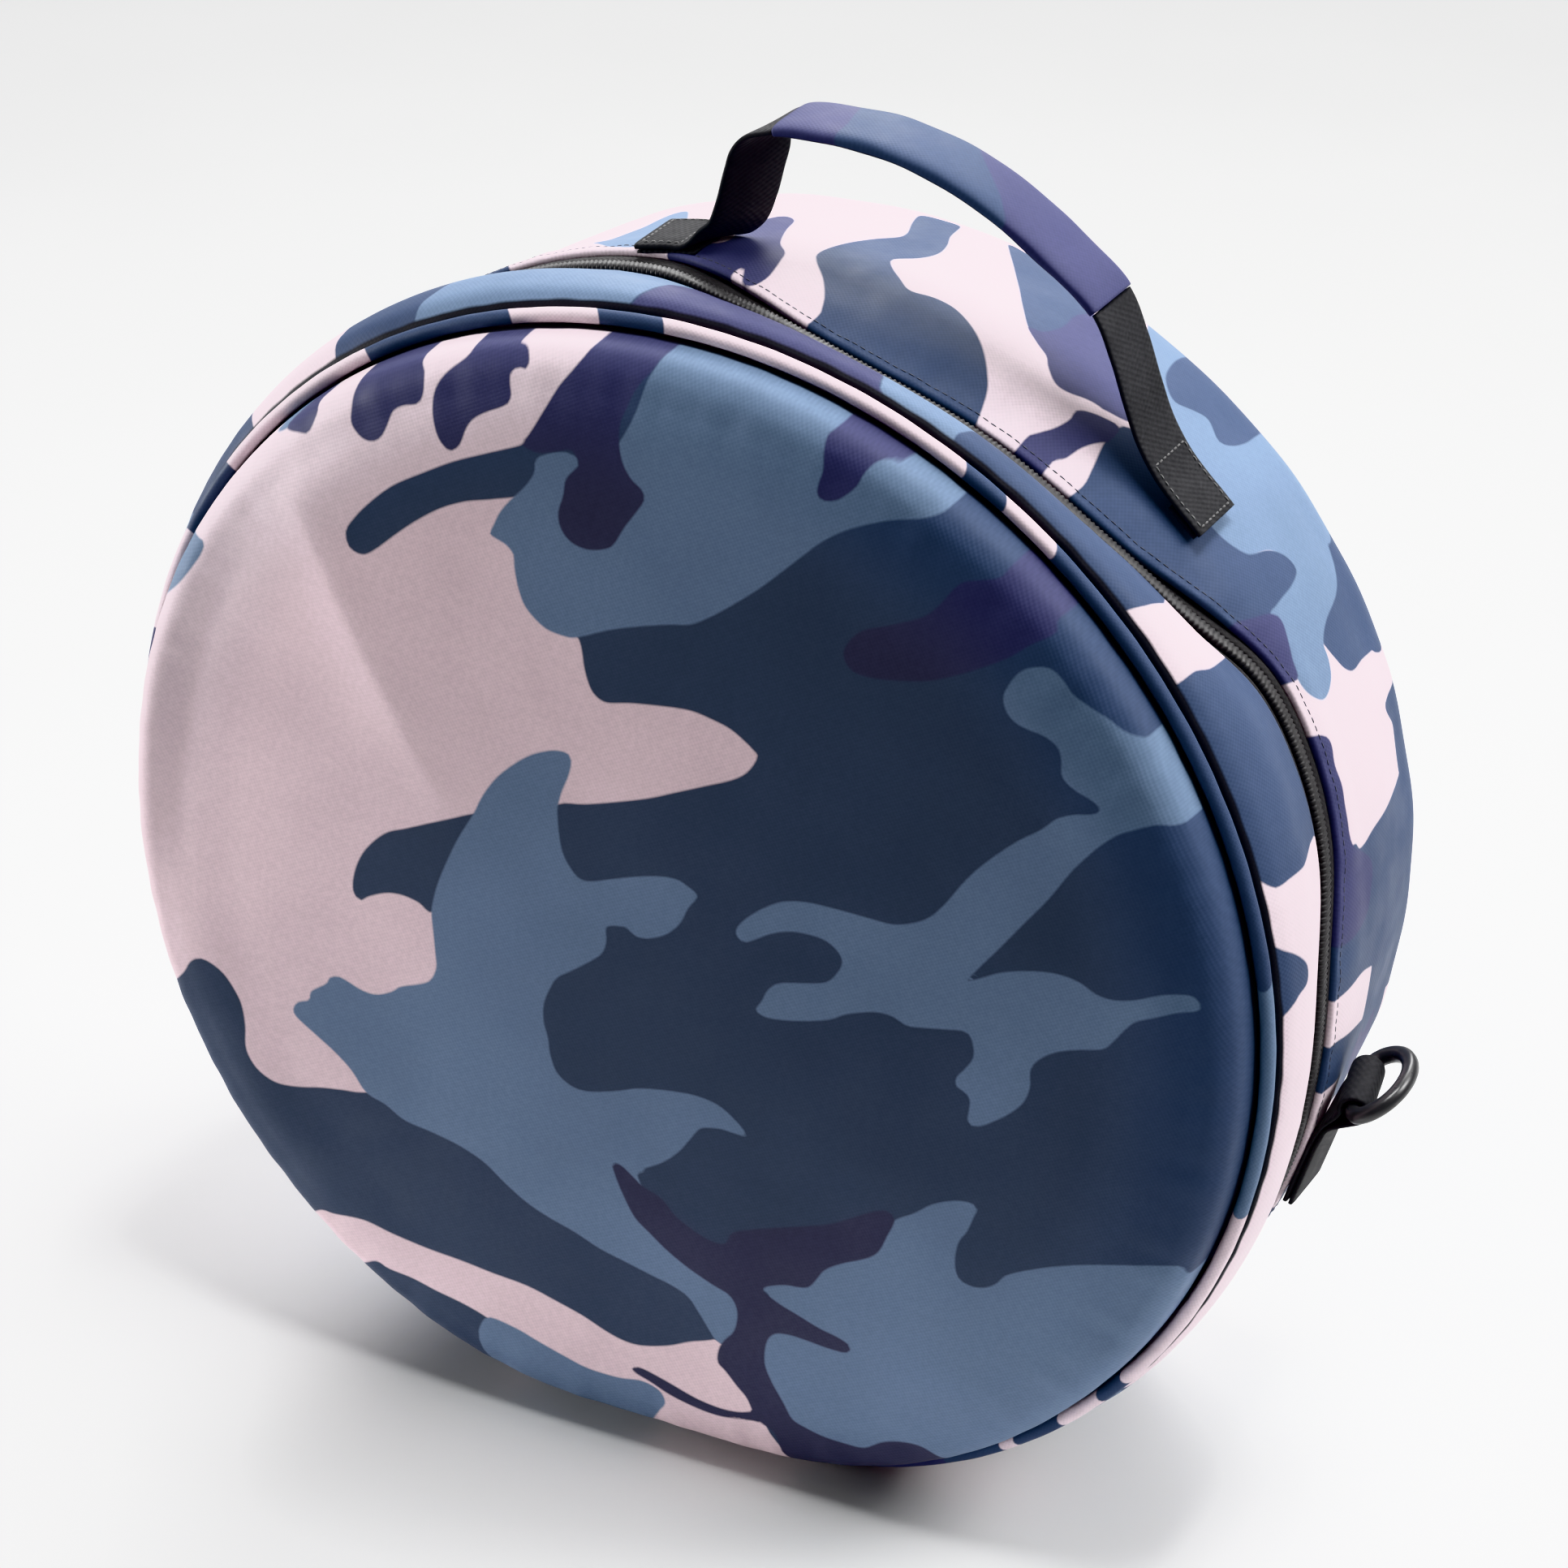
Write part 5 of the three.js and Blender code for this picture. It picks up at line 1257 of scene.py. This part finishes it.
def ring_piece():
    # straight bar in the loop, rounded corners, bow
    bow = RING_REACH - RING_HALF
    pts = [(0, z) for z in np.linspace(-(RING_HALF - RING_CORNER), RING_HALF - RING_CORNER, 12)]
    corner = np.linspace(0, 90, 8) * DEG
    pts += [(RING_CORNER - RING_CORNER * math.cos(a), RING_HALF - RING_CORNER + RING_CORNER * math.sin(a)) for a in corner][1:]
    far = max(bow, RING_CORNER)
    pts += [(far + (RING_REACH - far) * math.cos(a), RING_HALF * math.sin(a)) for a in np.linspace(90, -90, 48)[1:-1] * DEG]
    pts += [(RING_CORNER - RING_CORNER * math.cos(a), -(RING_HALF - RING_CORNER) - RING_CORNER * math.sin(a)) for a in corner[::-1]][:-1]
    line = np.array(pts)
    t = np.roll(line, -1, 0) - np.roll(line, 1, 0)
    t /= np.linalg.norm(t, axis=1, keepdims=True)
    side = np.stack([-t[:, 1], t[:, 0]], -1)
    section = 20
    w = np.arange(section) * 2 * math.pi / section
    c, s = signed_power(np.cos(w), 0.85) * RING_WIRE, signed_power(np.sin(w), 0.85) * RING_WIRE
    u = line[:, 0:1] + side[:, 0:1] * c[None]
    z = line[:, 1:2] + side[:, 1:2] * c[None]
    n = np.broadcast_to(s[None], u.shape)
    k = RING_LIFT * DEG
    p = np.stack([EYE_AT[0] + u * math.cos(k) - n * math.sin(k), EYE_AT[1] + u * math.sin(k) + n * math.cos(k), z], -1)
    v = tab_place(tab_twist(p, 1.0)).reshape(-1, 3)
    run = lengths(line)
    uv = np.stack(np.broadcast_arrays(run[:, None], w[None]), -1).reshape(-1, 2)
    make("ring_plastic", v, grid_faces(len(line), section, True, True), PLASTIC, "ring", ["side_ring"], uv=uv)


# ---------- slider ----------
def slider_piece():
    angle = -120.0
    turn = angle * DEG
    out = np.array([math.sin(turn), 0, math.cos(turn)])
    on = np.array([-math.cos(turn), 0, math.sin(turn)])
    origin = out * 159.9 + [0, float(course("depth", angle)), 0]

    def block(x0, x1, y0, y1, half0, half1, edge):
        """A rounded bar: its width goes from half0 at x0 to half1 at x1."""
        rows, section = 14, 24
        x = np.linspace(0, 1, rows)
        ends = np.minimum(1, np.minimum(x, 1 - x) * 9 + 0.55)[:, None]
        w = (np.arange(section) + 0.5) * 2 * math.pi / section
        half = (half0 + (half1 - half0) * x)[:, None]
        z = half * ends**0.4 * signed_power(np.cos(w), edge)[None]
        y = (y0 + y1) / 2 + (y1 - y0) / 2 * ends**0.4 * signed_power(np.sin(w), edge)[None]
        xs = np.broadcast_to((x0 + (x1 - x0) * x)[:, None], z.shape)
        p = np.stack([xs, y, z], -1).reshape(-1, 3)
        v = origin + p[:, 0:1] * on + p[:, 1:2] * out + p[:, 2:3] * np.cross(on, out)
        return v, capped(rows, section), np.stack([p[:, 0], p[:, 2]], -1)

    v, f, uv = join([
        block(-6, 6, 0.05, 2.15, 3.0, 4.0, 0.4),
        block(-4.5, 4.5, 2.1, 3.4, 1.3, 1.3, 0.6),
        block(-27, -4.3, 2.2, 3.35, 3.6, 2.2, 0.5),
    ])
    make("slider_plastic", v, f, PLASTIC, nodes=["zip_slider"], uv=uv)


# ---------- stitches ----------
def stitches(name, centres, directions, normals, length, half, material):
    """Short threads as one mesh: centre, direction and surface normal of each."""
    rows, section = 5, 6
    x = np.array([-1, -0.6, 0, 0.6, 1])
    r = np.array([0.15, 0.85, 1, 0.85, 0.15])
    w = np.arange(section) * 2 * math.pi / section
    d = directions / np.linalg.norm(directions, axis=1, keepdims=True)
    n = normals - (normals * d).sum(1, keepdims=True) * d
    n /= np.linalg.norm(n, axis=1, keepdims=True)
    b = np.cross(d, n)
    sink_in = np.array([-0.5, 0.05, 0.2, 0.05, -0.5])
    p = (
        centres[:, None, None]
        + x[None, :, None, None] * (length / 2) * d[:, None, None]
        + (r[:, None] * np.cos(w)[None])[None, ..., None] * half * b[:, None, None]
        + ((r[:, None] * np.sin(w)[None]) * 0.7 + sink_in[:, None])[None, ..., None] * half * n[:, None, None]
    )
    each = rows * section
    base = capped(rows, section)
    shift = (np.arange(len(centres)) * each)[:, None, None]
    faces = [(f[None] + shift).reshape(-1, f.shape[1]) for f in base]
    uv = np.tile(np.stack(np.broadcast_arrays(x[:, None] * length / 2, w[None] * half), -1).reshape(-1, 2), (len(centres), 1))
    return make(name, p.reshape(-1, 3), faces, material, uv=uv)


def seam_stitches(name, angles, skin, inset, pitch, material):
    """A row of stitches along a closed rim: skin's first row is the rim."""
    fall = np.cumsum(np.linalg.norm(np.diff(skin[:14], axis=0), axis=2), 0)
    k = np.argmax(fall > inset, 0)
    cols = np.arange(len(angles))
    share = np.clip((inset - np.where(k > 0, fall[k - 1, cols], 0)) / np.maximum(fall[k, cols] - np.where(k > 0, fall[k - 1, cols], 0), 1e-6), 0, 1)
    row = skin[k, cols] * (1 - share)[:, None] + skin[k + 1, cols] * share[:, None]
    ring = np.concatenate([row, row[:1]])
    run = lengths(ring)
    at = np.arange(0, run[-1] - pitch / 2, pitch)
    c = np.stack([np.interp(at, run, ring[:, j]) for j in range(3)], -1)
    ahead = np.stack([np.interp((at + 0.5) % run[-1], run, ring[:, j]) for j in range(3)], -1)
    n = c * [1, 0, 1]
    # under the bag's own weight the cloth lies on the floor: no thread there
    keep = (c[:, 0] * DOWN_X + c[:, 2] * DOWN_Z) < AXIS_HEIGHT - 1.2
    return stitches(name, c[keep], (ahead - c)[keep], n[keep], pitch * 0.86, 0.19, material)


def foot_stitches():
    """Box stitching over the webbing feet."""
    centres, directions, normals = [], [], []
    whole = smooth_line(HANDLE_LINE, np.linspace(0, 1, 900))
    run_all = lengths(whole)
    for begin, end in ((1.5, 12.5), (run_all[-1] - 20, run_all[-1] - 1.4)):
        line = whole[(run_all > begin) & (run_all < end)]
        t, out = frames(line)
        run = lengths(line)
        top = line + out * (WEB_THICK / 2)

        def at(s):
            f = lambda a: np.stack([np.interp(s, run, a[:, j]) for j in range(2)], -1)
            return f(top), f(t), f(out)

        lo, hi, half = 0.0, run[-1], WEB_WIDTH / 2 - 1.7
        corners = [(lo, -half), (hi, -half), (hi, half), (lo, half), (lo, -half)]
        for (s0, a0), (s1, a1) in zip(corners, corners[1:]):
            span = math.hypot(s1 - s0, a1 - a0)
            n = max(2, round(span / 2.1))
            for f in (np.arange(n) + 0.5) / n:
                s, a = s0 + (s1 - s0) * f, a0 + (a1 - a0) * f
                p, along, o = at(np.array([s]))
                centres.append((p[0, 0], HANDLE_Y + a, p[0, 1]))
                da, ds = (a1 - a0) / span, (s1 - s0) / span
                directions.append((along[0, 0] * ds, da, along[0, 1] * ds))
                normals.append((o[0, 0], 0, o[0, 1]))
    return stitches("foot_stitches", np.array(centres), np.array(directions), np.array(normals), 1.65, 0.28, GREY_THREAD)


panel_piece()
piping_piece()
BAND_ANGLES, BAND_SKIN = band_piece()
GUSSET_ANGLES, GUSSET_SKIN = gusset_piece()
back_piece()
zip_pieces()
hinge_piece()
handle_pieces()
tab_piece()
ring_piece()
slider_piece()
seam_stitches("gusset_topstitch", GUSSET_ANGLES, GUSSET_SKIN, 1.9, 2.3, THREAD)
foot_stitches()


# ---------- floor, light, camera ----------
def floor_piece():
    half = 8.0
    mesh = bpy.data.meshes.new("floor")
    mesh.from_pydata([(-half, -half, 0), (half, -half, 0), (half, half, 0), (-half, half, 0)], [], [(0, 1, 2, 3)])
    m, t, shader = start("pale_floor", 0.9, 0.1)
    t.links.new(shaded(t, (0.70, 0.70, 0.70), 0.985, 1.015, 9), shader.inputs["Base Color"])
    mesh.materials.append(m)
    obj = bpy.data.objects.new("floor", mesh)
    bpy.context.scene.collection.objects.link(obj)


def aim(obj, eye, target):
    back = np.array(eye, float) - np.array(target, float)
    back /= np.linalg.norm(back)
    right = np.cross((0, 0, 1), back)
    right = right / np.linalg.norm(right) if np.linalg.norm(right) > 1e-6 else np.array([1.0, 0, 0])
    up = np.cross(back, right)
    obj.matrix_world = Matrix([(right[i], up[i], back[i], eye[i]) for i in range(3)] + [(0, 0, 0, 1)])


def softbox(name, eye, target, size, power, spread=180):
    light = bpy.data.lights.new(name, "AREA")
    light.shape = "RECTANGLE"
    light.size, light.size_y = size
    light.energy = power
    light.spread = spread * DEG
    obj = bpy.data.objects.new(name, light)
    obj.visible_camera = False
    bpy.context.scene.collection.objects.link(obj)
    aim(obj, eye, target)


def camera_piece():
    az, el = 28.44 * DEG, 28.84 * DEG
    r = np.array([math.cos(az), math.sin(az), 0])
    v = np.array([-math.sin(az) * math.sin(el), math.cos(az) * math.sin(el), math.cos(el)])
    c = np.array([math.sin(az) * math.cos(el), -math.cos(az) * math.cos(el), math.sin(el)])
    eye = (0.532597, -0.986550, 0.781544)
    data = bpy.data.cameras.new("camera")
    data.sensor_fit = "HORIZONTAL"
    data.sensor_width = 36
    data.lens = 18 / math.tan(9 * DEG)
    data.clip_start, data.clip_end = 0.05, 60
    data.dof.use_dof = False
    obj = bpy.data.objects.new("camera", data)
    bpy.context.scene.collection.objects.link(obj)
    obj.matrix_world = Matrix([(r[i], v[i], c[i], eye[i]) for i in range(3)] + [(0, 0, 0, 1)])
    bpy.context.scene.camera = obj


def light_pieces():
    w = bpy.data.worlds.new("studio")
    w.use_nodes = True
    bg = w.node_tree.nodes["Background"]
    bg.inputs["Color"].default_value = (1, 1, 1, 1)
    bg.inputs["Strength"].default_value = 0.04
    bpy.context.scene.world = w
    softbox("back_light", (-0.6, 1.5, 1.3), (0.0, 0.1, 0.2), (1.3, 0.9), 5.2, 55)
    softbox("top_light", (0.3, 0.0, 1.85), (0.02, 0.0, 0.15), (0.7, 0.45), 2.95, 50)
    softbox("side_light", (1.4, 0.7, 1.35), (0.02, 0.05, 0.15), (0.9, 0.9), 4.8, 55)
    softbox("left_light", (-2.4, -0.5, 0.26), (0, -0.06, 0.16), (0.9, 0.3), 8.0, 60)
    softbox("low_light", (0.05, -0.125, 0.003), (0.05, -0.125, 1.0), (0.5, 0.06), 0.11)
    softbox("floor_light", (-0.3, 1.7, 1.8), (-0.3, 1.5, 0.0), (3.6, 1.6), 44, 150)
    far_lights = ((-5.4, 0.5, 7.6, 7.0, 143), (5.4, 0.5, 7.6, 7.0, 143), (0.0, 5.6, 9.0, 5.2, 126), (0.0, -5.0, 9.0, 5.2, 112))
    for x, y, wide, deep, power in far_lights:
        softbox(f"far_light_{x:.0f}_{y:.0f}", (x, y, 3.0), (x, y, 0), (wide, deep), power, 80)
    view = bpy.context.scene.view_settings
    view.view_transform = "Khronos PBR Neutral"
    view.look = "None"
    view.exposure = 0.0


floor_piece()
camera_piece()
light_pieces()
bpy.context.view_layer.update()
